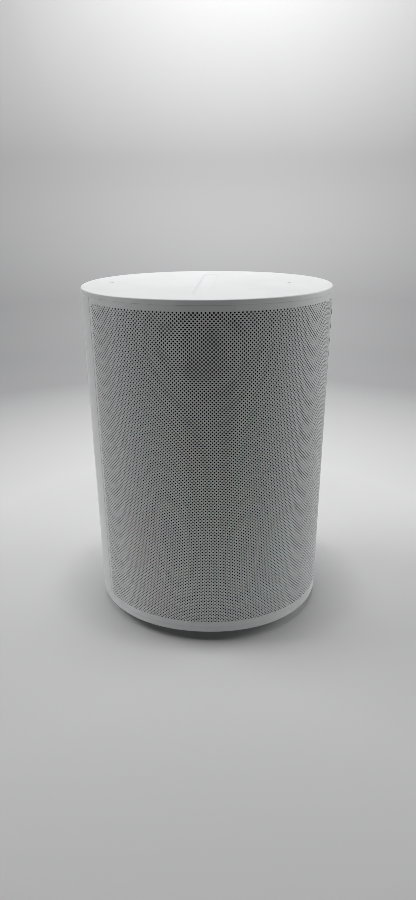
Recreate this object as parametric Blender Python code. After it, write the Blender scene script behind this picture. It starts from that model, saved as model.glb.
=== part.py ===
"""A compact oval smart speaker, modelled as the assembly of its separate pieces.

Metres, +Z up. The front faces -Y and the connectors face +Y. The origin is under the
middle of the body, on the surface that the speaker stands on.
"""

import math

import bmesh
import bpy
from mathutils import Vector

# ------------------------------------------------------------------ driving dimensions
HEIGHT = 0.1825
HALF_WIDTH = 0.0600
HALF_DEPTH = 0.06525
OVALNESS = 2.1  # exponent of the outline: 2 is an ellipse, more is squarer
CLEARANCE = 0.0003
SKIN = 0.0018  # wall of the grille sleeve and of the rear panel

OUTLINE_STEPS = 64
INNER_STEPS = 40
SCREW_STEPS = 12
HOLE_STEPS = 16

# Heights of the casing's levels
FOOT_TOP = 0.0016
PLINTH_LOW, PLINTH_HIGH = FOOT_TOP + CLEARANCE, 0.0048
RIM_LOW, RIM_HIGH = 0.0051, 0.0084  # the bottom cover's visible band
CAP_LOW = 0.1799  # underside of the top cover's visible band
SLEEVE_LOW, SLEEVE_HIGH = RIM_HIGH + CLEARANCE, CAP_LOW - CLEARANCE
LIP_HEIGHT = 0.0040  # locating lips of both covers, inside the sleeve
LIP_OUT, LIP_IN = SKIN + CLEARANCE, SKIN + CLEARANCE + 0.0015
EDGE = 0.0005  # broken edges
RIM_ROUND = 0.0006  # rounded outer edges of both covers
ROUND_MIDDLE = RIM_ROUND * (1 - math.cos(math.pi / 4))  # how far in a rounded edge's middle is

# Distances in from the outline
PLINTH_INSET = 0.0130
FOOT_OUT, FOOT_IN = 0.0140, 0.0260
BASE_SCREW_INSET = 0.0200
CHASSIS_INSET = LIP_IN + 2 * CLEARANCE
CHASSIS_WALL = 0.0016
BOARD = 0.0016  # thickness of a circuit board

# Touch surface on top
TROUGH_HALF_WIDTH, TROUGH_HALF_LENGTH = 0.0048, 0.0430
TROUGH_DEPTH = 0.0006
FRONT_LIGHT_Y, REAR_LIGHT_Y = -0.0432, 0.0505
LIGHT_RADIUS = 0.0008
LIGHT_SUNK = 0.00005  # the light pipes end just below the surface

# Badge: a column of plain raised dashes at the front
BADGE_DASHES = 5
BADGE_PITCH = 0.0073
BADGE_MIDDLE_Z = 0.1531
DASH_HALF_WIDTH, DASH_HALF_HEIGHT = 0.0024, 0.0016
BADGE_PROUD = 0.0006
BADGE_CARRIER = 0.0012  # strip behind the sleeve that joins the dashes

# Rear panel and the recess for its controls
PANEL_HALF_WIDTH = 0.0340
RECESS_FLOOR_Y = 0.0576
RECESS_WALL = 0.0018
RECESS_HALF_WIDTH = 0.0170
RECESS_LOW, RECESS_HIGH = 0.0155, 0.0780
INLET_Z, USB_Z, SLIDER_Z, BUTTON_Z = 0.0247, 0.0460, 0.0565, 0.0690
SLIDER_TRAVEL = 0.0030
BUTTON_RADIUS = 0.0040
BUTTON_STEM = 0.0012
KNOB_HALF_WIDTH, KNOB_HALF_HEIGHT = 0.0020, 0.0013
CONTROL_FLANGE = 0.0011  # the part of each control that stays behind the recess floor
CONTROL_PROUD = 0.0016
CAP_FLANGE = 0.0010  # how far the button's flange stands out round its cap
STEM_RADIUS = 0.0015
SLIDER_BASE_HALF_WIDTH, SLIDER_BASE_HALF_HEIGHT = 0.0060, 0.0025
GROOVE_PITCH, GROOVE_HALF_WIDTH, GROOVE_DEPTH = 0.0010, 0.0002, 0.0003
RECESS_CORNER = 0.0030
USB_HALF_WIDTH, USB_HALF_HEIGHT = 0.00447, 0.00163
INLET_HALF_WIDTH, INLET_HALF_HEIGHT = 0.0115, 0.0065
INLET_FRONT_Y = 0.0410
PIN_SPREAD, PIN_RADIUS, PIN_TAIL, PIN_SUNK = 0.0043, 0.0012, 0.0020, 0.0030
MOUTH_LOBE, MOUTH_WAIST, MOUTH_FLOOR = 0.0041, 0.0030, 0.0040

# Connector board in front of the recess, and the bodies of its two switches
IO_BOARD_Y, IO_BOARD_HALF_WIDTH = 0.0486, 0.0160
IO_BOARD_LOW, IO_BOARD_HIGH = 0.0340, 0.0760
TACT_HALF, TACT_REAR_Y, PLUNGER_REAR_Y = 0.0030, 0.0518, 0.0521
SLIDE_BODY_HALF_WIDTH, SLIDE_BODY_HALF_HEIGHT, SLIDE_BODY_REAR_Y = 0.0050, 0.0025, 0.0541
USB_SHELL = 0.00035
USB_TONGUE_HALF_WIDTH, USB_TONGUE_HALF_HEIGHT = 0.00335, 0.00035

# Lower chassis and the power supply in it
CHASSIS_LOW, CHASSIS_HIGH = SLEEVE_LOW, 0.0480
CHASSIS_FLOOR = 0.0020
BOSS_RADIUS, BOSS_HIGH = 0.0036, 0.0160
BASE_SHAFT, BASE_HEAD = 0.0016, 0.0034  # radii of a base screw
BASE_HEAD_HIGH, BASE_TIP = 0.0036, BOSS_HIGH - 0.0020
SUPPLY_LOW = BOSS_HIGH + CLEARANCE
SUPPLY_INSET, SUPPLY_FRONT_Y, SUPPLY_REAR_Y = CHASSIS_INSET + 0.0033, -0.0420, 0.0500
TRANSFORMER_FRONT, TRANSFORMER_REAR, TRANSFORMER_RISE = (-0.032, -0.022), (-0.006, 0.002), 0.020
CAPACITOR_PLACE, CAPACITOR_RADIUS, CAPACITOR_RISE = (0.020, -0.014), 0.0080, 0.025

# Main board, upright behind the bass enclosure
MAIN_BOARD_Y, MAIN_BOARD_HALF_WIDTH = 0.0400, 0.0320
MAIN_BOARD_LOW, MAIN_BOARD_HIGH = 0.0840, 0.1600
SHIELD_HALF_WIDTH, SHIELD_DEPTH, SHIELD_LOW, SHIELD_HIGH = 0.0120, 0.0024, 0.1390, 0.1570
SINK_HALF_WIDTH, SINK_LOW, SINK_HIGH = 0.0200, 0.0940, 0.1340
SINK_BASE, SINK_DEPTH, FIN_COUNT, FIN_THICKNESS = 0.0020, 0.0090, 8, 0.0012
LEAD_X, LEAD_RADIUS = 0.0280, 0.0014

# Bass enclosure, behind its front baffle
BAFFLE_Y, ENCLOSURE_REAR_Y = -0.0380, 0.0360
ENCLOSURE_LOW, ENCLOSURE_HIGH = CHASSIS_HIGH + CLEARANCE, 0.1383
ENCLOSURE_WALL = 0.0024
SEAL_FRONT_Y, SEAL_REAR_Y = -0.0203, -0.0195

# Drivers. The woofer's levels are measured in front of the baffle
BAFFLE_OPENING = 0.0372
BASKET_WINDOW_HALF, BASKET_WINDOW_LOW, BASKET_WINDOW_HIGH = 0.0070, -0.0200, -0.0030
SPIDER_INNER, SPIDER_OUTER, SPIDER_LEVEL = 0.0140, 0.0260, -0.0158
SPIDER_RIPPLES, SPIDER_CREST, SPIDER_HALF_THICKNESS = 3, 0.0007, 0.0003
WOOFER_SHAFT, WOOFER_HEAD = 0.0012, 0.0020  # radii of a woofer screw
WOOFER_TIP, WOOFER_SEAT, WOOFER_HEAD_TOP = -0.0060, 0.0035, 0.0047
WOOFER_Z = (ENCLOSURE_LOW + ENCLOSURE_HIGH) / 2
WOOFER_SCREW_CIRCLE = 0.0412
BRIDGE_LOW, BRIDGE_HIGH = ENCLOSURE_HIGH + CLEARANCE, 0.1700
BRIDGE_NOSE_Y, BRIDGE_SIDE_X = -0.0500, 0.0440
BRIDGE_CHEEK_Y = -0.0180  # where the angled cheeks meet the bridge's sides
TWEETER_ANGLE = math.atan2(BRIDGE_CHEEK_Y - BRIDGE_NOSE_Y, BRIDGE_SIDE_X)
TWEETER_Z = (BRIDGE_LOW + BRIDGE_HIGH) / 2
TWEETER_BORE = 0.0132
BRIDGE_REAR_HALF_WIDTH = 0.0300

# Upper frame and touch board
FRAME_LOW, FRAME_HIGH = BRIDGE_HIGH + CLEARANCE, 0.1781
FRAME_WALL = 0.0020
TOUCH_LOW, TOUCH_HIGH = FRAME_HIGH + CLEARANCE, CAP_LOW - CLEARANCE
MICROPHONE_HALF_WIDTH, MICROPHONE_HALF_DEPTH, MICROPHONE_RISE = 0.0019, 0.0015, 0.0011
FRONT_MICROPHONE_Y, REAR_MICROPHONE_Y = -0.0380, 0.0440
ANTENNA_FRONT, ANTENNA_REAR = (0.0472, -0.0080, 0.1450), (0.0480, 0.0180, 0.1680)

# Colour, roughness and metallic value of each kind of surface
FINISHES = {
    "white_shell": ((0.82, 0.83, 0.84), 0.42, 0.0),
    "grey_mark": ((0.12, 0.12, 0.13), 0.45, 0.0),
    "white_control": ((0.75, 0.76, 0.77), 0.38, 0.0),
    "dark_plastic": ((0.035, 0.035, 0.038), 0.55, 0.0),
    "grey_plastic": ((0.28, 0.28, 0.29), 0.55, 0.0),
    "soft_rubber": ((0.05, 0.05, 0.052), 0.80, 0.0),
    "foam": ((0.03, 0.03, 0.03), 0.95, 0.0),
    "circuit_board": ((0.03, 0.16, 0.07), 0.45, 0.0),
    "bare_steel": ((0.62, 0.62, 0.64), 0.32, 1.0),
    "black_steel": ((0.05, 0.05, 0.055), 0.45, 0.6),
    "ferrite": ((0.07, 0.07, 0.075), 0.70, 0.3),
    "aluminium": ((0.78, 0.79, 0.80), 0.35, 1.0),
    "brass": ((0.80, 0.62, 0.28), 0.30, 1.0),
    "paper": ((0.10, 0.10, 0.11), 0.85, 0.0),
    "cloth": ((0.55, 0.42, 0.22), 0.90, 0.0),
    "clear_guide": ((0.30, 0.31, 0.33), 0.20, 0.0),
}


# ------------------------------------------------------------------ outlines
def oval_point(inset, angle):
    """A point of the body's outline, moved in by inset. Angle 0 is +X and pi/2 is +Y."""
    power = 2 / OVALNESS
    c, s = math.cos(angle), math.sin(angle)
    x = (HALF_WIDTH - inset) * math.copysign(abs(c) ** power, c)
    y = (HALF_DEPTH - inset) * math.copysign(abs(s) ** power, s)
    return x, y


def oval(inset, steps=OUTLINE_STEPS):
    return [oval_point(inset, 2 * math.pi * i / steps) for i in range(steps)]


def oval_half_width(inset, y):
    share = abs(y / (HALF_DEPTH - inset)) ** OVALNESS
    return (HALF_WIDTH - inset) * (1 - share) ** (1 / OVALNESS)


def oval_half_depth(inset, x):
    share = abs(x / (HALF_WIDTH - inset)) ** OVALNESS
    return (HALF_DEPTH - inset) * (1 - share) ** (1 / OVALNESS)


def side_angle(x):
    """The outline's angle where it passes x on the rear side."""
    return math.acos((x / HALF_WIDTH) ** (OVALNESS / 2))


def clipped_oval(inset, front_y, rear_y, steps=10):
    """The outline between two planes across it: a curved side, a flat, a side, a flat."""
    levels = [front_y + (rear_y - front_y) * i / steps for i in range(steps + 1)]
    right = [(oval_half_width(inset, y), y) for y in levels]
    left = [(-x, y) for x, y in reversed(right)]
    return right + left


def rounded_rectangle(half_u, half_v, radius, corner_steps=4, middle=(0.0, 0.0)):
    points = []
    for quarter, (side_u, side_v) in enumerate([(1, 1), (-1, 1), (-1, -1), (1, -1)]):
        centre_u = side_u * (half_u - radius)
        centre_v = side_v * (half_v - radius)
        for i in range(corner_steps + 1):
            angle = (quarter + i / corner_steps) * math.pi / 2
            point_u = middle[0] + centre_u + radius * math.cos(angle)
            point_v = middle[1] + centre_v + radius * math.sin(angle)
            points.append((point_u, point_v))
    return points


def capsule(half_u, half_v, middle=(0.0, 0.0), corner_steps=5):
    return rounded_rectangle(half_u, half_v, half_v, corner_steps, middle)


def circle(radius, middle=(0.0, 0.0), steps=HOLE_STEPS):
    angles = [2 * math.pi * i / steps for i in range(steps)]
    return [(middle[0] + radius * math.cos(a), middle[1] + radius * math.sin(a)) for a in angles]


def arc(centre, radius, start, end, steps):
    """Points of an arc in the (radius, height) plane of a turned piece, angles in degrees."""
    points = []
    for i in range(steps + 1):
        angle = math.radians(start + (end - start) * i / steps)
        points.append((centre[0] + radius * math.cos(angle), centre[1] + radius * math.sin(angle)))
    return points


# ------------------------------------------------------------------ solids
def make_material(name, finish):
    colour, roughness, metallic = FINISHES[finish]
    material = bpy.data.materials.new(name + "_" + finish)
    material.use_nodes = True
    shader = material.node_tree.nodes["Principled BSDF"]
    shader.inputs["Base Color"].default_value = (*colour, 1.0)
    shader.inputs["Roughness"].default_value = roughness
    shader.inputs["Metallic"].default_value = metallic
    return material


def skin(name, stations, finish, closed=False, parent=None):
    """One solid through equal loops of points. A closed run of loops meets itself."""
    mesh_tool = bmesh.new()
    shared = {}

    def vertex(point):
        key = tuple(round(c, 8) for c in point)
        if key not in shared:
            shared[key] = mesh_tool.verts.new(point)
        return shared[key]

    loops = [[vertex(p) for p in station] for station in stations]
    following = loops[1:] + loops[:1] if closed else loops[1:]
    for first, second in zip(loops, following):
        for i in range(len(first)):
            j = (i + 1) % len(first)
            corners = dict.fromkeys([first[i], first[j], second[j], second[i]])
            if len(corners) > 2:
                mesh_tool.faces.new(list(corners))
    if not closed:
        for cap in (loops[0], loops[-1]):
            mesh_tool.faces.new(list(dict.fromkeys(cap)))
    bmesh.ops.recalc_face_normals(mesh_tool, faces=mesh_tool.faces)
    mesh = bpy.data.meshes.new(name)
    mesh_tool.to_mesh(mesh)
    mesh_tool.free()
    mesh.shade_smooth()
    mesh.set_sharp_from_angle(angle=math.radians(30))
    piece = bpy.data.objects.new(name, mesh)
    bpy.context.scene.collection.objects.link(piece)
    piece.parent = parent
    if finish is None:
        piece.hide_render = True
        piece.display_type = "WIRE"
    else:
        mesh.materials.append(make_material(name, finish))
    return piece


def prism_up(name, outline, low, high, finish, parent=None):
    """An outline in X and Y, extruded along Z."""
    return skin(name, [[(x, y, z) for x, y in outline] for z in (low, high)], finish, parent=parent)


def prism_back(name, outline, front_y, rear_y, finish, parent=None):
    """An outline in X and Z, extruded along Y."""
    stations = [[(x, y, z) for x, z in outline] for y in (front_y, rear_y)]
    return skin(name, stations, finish, parent=parent)


def block(name, low, high, finish, parent=None):
    corners = [(low[0], low[1]), (high[0], low[1]), (high[0], high[1]), (low[0], high[1])]
    return prism_up(name, corners, low[2], high[2], finish, parent)


def oval_stack(name, levels, finish, steps=OUTLINE_STEPS):
    """A solid that follows the body's outline: levels are (inset, height) pairs."""
    stations = [[(x, y, z) for x, y in oval(inset, steps)] for inset, z in levels]
    return skin(name, stations, finish)


def oval_ring(name, outer, inner, low, high, finish, steps=INNER_STEPS):
    stations = []
    for outside, inside in zip(oval(outer, steps), oval(inner, steps)):
        stations.append([(*outside, low), (*outside, high), (*inside, high), (*inside, low)])
    return skin(name, stations, finish, closed=True)


def curved_wall(name, start, end, outer, inner, low, high, finish, steps):
    """A length of wall that follows the outline from one angle to another."""
    stations = []
    for i in range(steps + 1):
        angle = start + (end - start) * i / steps
        outside, inside = oval_point(outer, angle), oval_point(inner, angle)
        stations.append([(*outside, low), (*outside, high), (*inside, high), (*inside, low)])
    return skin(name, stations, finish)


def turned(name, profile, finish, steps, parent=None, middle=(0.0, 0.0)):
    """A profile of (radius, height) points, turned round its own Z axis."""
    stations = []
    for i in range(steps):
        angle = 2 * math.pi * i / steps
        c, s = math.cos(angle), math.sin(angle)
        stations.append([(middle[0] + r * c, middle[1] + r * s, h) for r, h in profile])
    return skin(name, stations, finish, closed=True, parent=parent)


def combine(piece, tool, operation):
    modifier = piece.modifiers.new(tool.name, "BOOLEAN")
    modifier.operation = operation
    modifier.solver = "EXACT"
    modifier.object = tool


def cut(piece, *tools):
    for tool in tools:
        combine(piece, tool, "DIFFERENCE")


def join(piece, *tools):
    for tool in tools:
        combine(piece, tool, "UNION")


def axis_frame(name, location, direction):
    """An empty whose own Z axis points along direction. Turned pieces hang on it."""
    empty = bpy.data.objects.new(name, None)
    empty.location = location
    empty.rotation_mode = "QUATERNION"
    empty.rotation_quaternion = Vector(direction).to_track_quat("Z", "X")
    bpy.context.scene.collection.objects.link(empty)
    return empty


# ------------------------------------------------------------------ casing
def build_foot_and_plinth():
    oval_ring("foot_pad", FOOT_OUT, FOOT_IN, 0.0, FOOT_TOP, "soft_rubber")
    levels = [(PLINTH_INSET, PLINTH_LOW), (PLINTH_INSET, PLINTH_HIGH)]
    return oval_stack("base_plinth", levels, "grey_plastic", INNER_STEPS)


def build_bottom_cover():
    levels = [
        (RIM_ROUND, RIM_LOW),
        (ROUND_MIDDLE, RIM_LOW + ROUND_MIDDLE),
        (0.0, RIM_LOW + RIM_ROUND),
        (0.0, RIM_HIGH),
        (LIP_OUT, RIM_HIGH),
        (LIP_OUT, RIM_HIGH + LIP_HEIGHT),
        (LIP_IN, RIM_HIGH + LIP_HEIGHT),
        (LIP_IN, RIM_HIGH),
    ]
    return oval_stack("bottom_cover", levels, "white_shell")


def build_top_cover():
    """The touch surface, with its trough and the two bores for its status lights."""
    levels = [
        (LIP_IN, CAP_LOW),
        (LIP_IN, CAP_LOW - LIP_HEIGHT),
        (LIP_OUT, CAP_LOW - LIP_HEIGHT),
        (LIP_OUT, CAP_LOW),
        (0.0, CAP_LOW),
        (0.0, HEIGHT - RIM_ROUND),
        (ROUND_MIDDLE, HEIGHT - ROUND_MIDDLE),
        (RIM_ROUND, HEIGHT),
    ]
    cover = oval_stack("top_cover", levels, "white_shell")
    trough = capsule(TROUGH_HALF_LENGTH, TROUGH_HALF_WIDTH)
    cut(cover, prism_up("trough_cutter", trough, HEIGHT - TROUGH_DEPTH, HEIGHT + EDGE, None))
    for side, y in (("front", FRONT_LIGHT_Y), ("rear", REAR_LIGHT_Y)):
        bore = circle(LIGHT_RADIUS + CLEARANCE, (0.0, y), SCREW_STEPS)
        cut(cover, prism_up(side + "_light_bore", bore, CAP_LOW - EDGE, HEIGHT + EDGE, None))
        pipe = circle(LIGHT_RADIUS, (0.0, y), SCREW_STEPS)
        prism_up(side + "_light_pipe", pipe, CAP_LOW, HEIGHT - LIGHT_SUNK, "clear_guide")


def build_sleeve_and_badge():
    """The sleeve wraps all but the rear panel. The badge's dashes stand out through it."""
    edge = side_angle(PANEL_HALF_WIDTH + CLEARANCE)
    start, end = math.pi - edge, 2 * math.pi + edge
    sleeve = curved_wall(
        "grille_sleeve", start, end, 0.0, SKIN, SLEEVE_LOW, SLEEVE_HIGH, "white_shell", OUTLINE_STEPS
    )
    reach = BADGE_PITCH * (BADGE_DASHES - 1) / 2 + 2 * DASH_HALF_HEIGHT
    carrier_front = -(HALF_DEPTH - SKIN - 2 * CLEARANCE)
    carrier = rounded_rectangle(1.4 * DASH_HALF_WIDTH, reach, DASH_HALF_HEIGHT, 2, (0.0, BADGE_MIDDLE_Z))
    badge = prism_back("front_badge", carrier, carrier_front, carrier_front + BADGE_CARRIER, "grey_mark")
    for i in range(BADGE_DASHES):
        z = BADGE_MIDDLE_Z + (i - (BADGE_DASHES - 1) / 2) * BADGE_PITCH
        dash = capsule(DASH_HALF_WIDTH, DASH_HALF_HEIGHT, (0.0, z), 3)
        front = -(HALF_DEPTH + BADGE_PROUD)
        join(badge, prism_back(f"dash_{i}", dash, front, carrier_front + BADGE_CARRIER / 2, None))
        around = (DASH_HALF_WIDTH + CLEARANCE, DASH_HALF_HEIGHT + CLEARANCE)
        slot = capsule(*around, (0.0, z), 3)
        cut(sleeve, prism_back(f"dash_slot_{i}", slot, front, carrier_front, None))


def build_rear_panel():
    """The plain strip behind, with the recess that holds the controls and both sockets."""
    edge = side_angle(PANEL_HALF_WIDTH)
    panel = curved_wall(
        "rear_panel", edge, math.pi - edge, 0.0, SKIN, SLEEVE_LOW, SLEEVE_HIGH, "white_shell", 16
    )
    half = RECESS_HALF_WIDTH + RECESS_WALL
    inner_y = RECESS_FLOOR_Y - RECESS_WALL
    across = [half * (1 - i / 5) for i in range(11)]
    arch = [(x, oval_half_depth(SKIN / 3, x)) for x in across]
    tub_low, tub_high = RECESS_LOW - RECESS_WALL, RECESS_HIGH + RECESS_WALL
    tub = prism_up("recess_tub", [(-half, inner_y), (half, inner_y)] + arch, tub_low, tub_high, None)
    join(panel, tub)
    middle = (0.0, (RECESS_LOW + RECESS_HIGH) / 2)
    half_height = (RECESS_HIGH - RECESS_LOW) / 2
    hollow = rounded_rectangle(RECESS_HALF_WIDTH, half_height, RECESS_CORNER, 4, middle)
    cut(panel, prism_back("recess_hollow", hollow, RECESS_FLOOR_Y, HALF_DEPTH + SKIN, None))
    slot_half = KNOB_HALF_WIDTH + SLIDER_TRAVEL / 2 + CLEARANCE
    openings = {
        "button_bore": circle(BUTTON_RADIUS + CLEARANCE, (0.0, BUTTON_Z), HOLE_STEPS),
        "slider_slot": rounded_rectangle(
            slot_half, KNOB_HALF_HEIGHT + CLEARANCE, EDGE, 2, (0.0, SLIDER_Z)
        ),
        "usb_bore": capsule(USB_HALF_WIDTH + CLEARANCE, USB_HALF_HEIGHT + CLEARANCE, (0.0, USB_Z)),
        "inlet_bore": rounded_rectangle(
            INLET_HALF_WIDTH + CLEARANCE, INLET_HALF_HEIGHT + CLEARANCE, 2 * EDGE, 2, (0.0, INLET_Z)
        ),
    }
    for name, outline in openings.items():
        cut(panel, prism_back(name, outline, inner_y - EDGE, RECESS_FLOOR_Y + EDGE, None))


# ------------------------------------------------------------------ rear controls and sockets
def build_rear_controls():
    """A sprung push button and a two-way slide switch, each behind the recess floor."""
    flange_rear = RECESS_FLOOR_Y - RECESS_WALL - CLEARANCE
    flange_front = flange_rear - CONTROL_FLANGE
    press = axis_frame("button_axis", (0.0, flange_front, BUTTON_Z), (0.0, 1.0, 0.0))
    cap_top = RECESS_FLOOR_Y + CONTROL_PROUD - flange_front
    profile = [
        (0.0, -BUTTON_STEM),
        (STEM_RADIUS, -BUTTON_STEM),
        (STEM_RADIUS, 0.0),
        (BUTTON_RADIUS + CAP_FLANGE, 0.0),
        (BUTTON_RADIUS + CAP_FLANGE, CONTROL_FLANGE),
        (BUTTON_RADIUS, CONTROL_FLANGE),
        (BUTTON_RADIUS, cap_top - EDGE),
        (BUTTON_RADIUS - EDGE, cap_top),
        (0.0, cap_top),
    ]
    turned("pairing_button", profile, "white_control", 20, press)

    rest_x = -SLIDER_TRAVEL / 2
    slider = block(
        "mic_switch",
        (rest_x - SLIDER_BASE_HALF_WIDTH, flange_front, SLIDER_Z - SLIDER_BASE_HALF_HEIGHT),
        (rest_x + SLIDER_BASE_HALF_WIDTH, flange_rear, SLIDER_Z + SLIDER_BASE_HALF_HEIGHT),
        "white_control",
    )
    knob = rounded_rectangle(KNOB_HALF_WIDTH, KNOB_HALF_HEIGHT, EDGE, 2, (rest_x, SLIDER_Z))
    knob_front = flange_rear - CONTROL_FLANGE / 2
    knob_rear = RECESS_FLOOR_Y + CONTROL_PROUD
    join(slider, prism_back("slider_knob", knob, knob_front, knob_rear, None))
    for i in (-1, 0, 1):
        x = rest_x + i * GROOVE_PITCH
        low = (x - GROOVE_HALF_WIDTH, knob_rear - GROOVE_DEPTH, SLIDER_Z - 2 * KNOB_HALF_HEIGHT)
        high = (x + GROOVE_HALF_WIDTH, knob_rear + EDGE, SLIDER_Z + 2 * KNOB_HALF_HEIGHT)
        cut(slider, block(f"knob_groove_{i + 1}", low, high, None))


def build_io_board():
    """The upright connector board, the bodies of both switches and the data socket."""
    board_rear = IO_BOARD_Y + BOARD
    low = (-IO_BOARD_HALF_WIDTH, IO_BOARD_Y, IO_BOARD_LOW)
    block("io_board", low, (IO_BOARD_HALF_WIDTH, board_rear, IO_BOARD_HIGH), "circuit_board")
    front = board_rear + CLEARANCE
    low = (-TACT_HALF, front, BUTTON_Z - TACT_HALF)
    tact = block("button_switch", low, (TACT_HALF, TACT_REAR_Y, BUTTON_Z + TACT_HALF), "dark_plastic")
    plunger = circle(STEM_RADIUS, (0.0, BUTTON_Z), SCREW_STEPS)
    join(tact, prism_back("tact_plunger", plunger, TACT_REAR_Y - CLEARANCE, PLUNGER_REAR_Y, None))
    low = (-SLIDE_BODY_HALF_WIDTH, front, SLIDER_Z - SLIDE_BODY_HALF_HEIGHT)
    high = (SLIDE_BODY_HALF_WIDTH, SLIDE_BODY_REAR_Y, SLIDER_Z + SLIDE_BODY_HALF_HEIGHT)
    block("slide_switch_body", low, high, "bare_steel")
    rear = RECESS_FLOOR_Y - CLEARANCE
    outer = capsule(USB_HALF_WIDTH, USB_HALF_HEIGHT, (0.0, USB_Z))
    socket = prism_back("usb_c_socket", outer, front, rear, "bare_steel")
    inner = capsule(USB_HALF_WIDTH - CLEARANCE, USB_HALF_HEIGHT - USB_SHELL, (0.0, USB_Z))
    cut(socket, prism_back("usb_hollow", inner, front + BOARD, rear + EDGE, None))
    low = (-USB_TONGUE_HALF_WIDTH, front + BOARD / 2, USB_Z - USB_TONGUE_HALF_HEIGHT)
    high = (USB_TONGUE_HALF_WIDTH, rear - 2 * EDGE, USB_Z + USB_TONGUE_HALF_HEIGHT)
    join(socket, block("usb_tongue", low, high, None))


def figure_eight(spread, lobe, waist, middle, steps=9):
    """Two round lobes joined by a narrower waist."""
    meeting = math.asin(waist / lobe)
    points = []
    for side, start in ((1, meeting - math.pi), (-1, meeting)):
        for i in range(steps + 1):
            angle = start + 2 * (math.pi - meeting) * i / steps
            point_u = middle[0] + side * spread + lobe * math.cos(angle)
            points.append((point_u, middle[1] + lobe * math.sin(angle)))
    return points


def build_power_inlet():
    """A two-pin figure-eight mains socket, open to the rear."""
    middle = (0.0, INLET_Z)
    outer = rounded_rectangle(INLET_HALF_WIDTH, INLET_HALF_HEIGHT, 2 * EDGE, 2, middle)
    rear = RECESS_FLOOR_Y - CLEARANCE
    inlet = prism_back("power_inlet", outer, INLET_FRONT_Y, rear, "dark_plastic")
    mouth = figure_eight(PIN_SPREAD, MOUTH_LOBE, MOUTH_WAIST, middle)
    mouth_floor = INLET_FRONT_Y + MOUTH_FLOOR
    cut(inlet, prism_back("inlet_mouth", mouth, mouth_floor, rear + EDGE, None))
    for side, x in (("left", -PIN_SPREAD), ("right", PIN_SPREAD)):
        bore = circle(PIN_RADIUS + CLEARANCE, (x, INLET_Z), SCREW_STEPS)
        past = mouth_floor + 2 * EDGE
        cut(inlet, prism_back(side + "_pin_bore", bore, INLET_FRONT_Y - EDGE, past, None))
        pin = circle(PIN_RADIUS, (x, INLET_Z), SCREW_STEPS)
        name = "inlet_pin_" + side
        prism_back(name, pin, INLET_FRONT_Y - PIN_TAIL, rear - PIN_SUNK, "brass")


# ------------------------------------------------------------------ chassis and electronics
def build_lower_chassis():
    floor_high = CHASSIS_LOW + CHASSIS_FLOOR
    levels = [(CHASSIS_INSET, CHASSIS_LOW), (CHASSIS_INSET, floor_high)]
    chassis = oval_stack("lower_chassis", levels, "dark_plastic", INNER_STEPS)
    gap = side_angle(RECESS_HALF_WIDTH + 4 * RECESS_WALL)
    outside = CHASSIS_INSET + EDGE
    wall = curved_wall(
        "chassis_wall",
        math.pi - gap,
        2 * math.pi + gap,
        outside,
        outside + CHASSIS_WALL,
        CHASSIS_LOW + CHASSIS_FLOOR / 2,
        CHASSIS_HIGH,
        None,
        INNER_STEPS,
    )
    join(chassis, wall)
    for i, spot in enumerate(base_screw_spots()):
        boss = circle(BOSS_RADIUS, spot, HOLE_STEPS)
        join(chassis, prism_up(f"boss_{i}", boss, CHASSIS_LOW + CHASSIS_FLOOR / 2, BOSS_HIGH, None))
    return chassis


def base_screw_spots():
    return [oval_point(BASE_SCREW_INSET, math.radians(45 + 90 * i)) for i in range(4)]


def build_base_screws(plinth, cover, chassis):
    """Four screws from below, through plinth and bottom cover into the chassis bosses."""
    head_low = PLINTH_LOW + CLEARANCE
    profile = [
        (0, head_low),
        (BASE_HEAD, head_low),
        (BASE_HEAD, BASE_HEAD_HIGH),
        (BASE_SHAFT, BASE_HEAD_HIGH),
        (BASE_SHAFT, BASE_TIP),
        (0, BASE_TIP),
    ]
    for i, spot in enumerate(base_screw_spots()):
        turned(f"base_screw_{i + 1}", profile, "bare_steel", SCREW_STEPS, None, spot)
        way = circle(BASE_SHAFT + CLEARANCE, spot, SCREW_STEPS)
        bore = prism_up(f"screw_way_{i}", way, 0.0, BASE_TIP + CLEARANCE, None)
        seat = circle(BASE_HEAD + CLEARANCE, spot, SCREW_STEPS)
        cut(plinth, bore, prism_up(f"screw_seat_{i}", seat, 0.0, BASE_HEAD_HIGH + CLEARANCE, None))
        cut(cover, bore)
        cut(chassis, bore)


def build_power_supply():
    """The power supply board over the chassis, with its transformer and bulk capacitor."""
    high = SUPPLY_LOW + BOARD
    outline = clipped_oval(SUPPLY_INSET, SUPPLY_FRONT_Y, SUPPLY_REAR_Y)
    prism_up("power_supply_board", outline, SUPPLY_LOW, high, "circuit_board")
    low = high + CLEARANCE
    front, rear = (*TRANSFORMER_FRONT, low), (*TRANSFORMER_REAR, low + TRANSFORMER_RISE)
    soften(block("transformer", front, rear, "grey_plastic"), 2 * EDGE)
    top = low + CAPACITOR_RISE
    profile = [
        (0, low),
        (CAPACITOR_RADIUS - EDGE, low),
        (CAPACITOR_RADIUS, low + EDGE),
        (CAPACITOR_RADIUS, top - 2 * EDGE),
        (CAPACITOR_RADIUS - 2 * EDGE, top),
        (0, top),
    ]
    turned("bulk_capacitor", profile, "dark_plastic", 20, None, CAPACITOR_PLACE)


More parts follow.
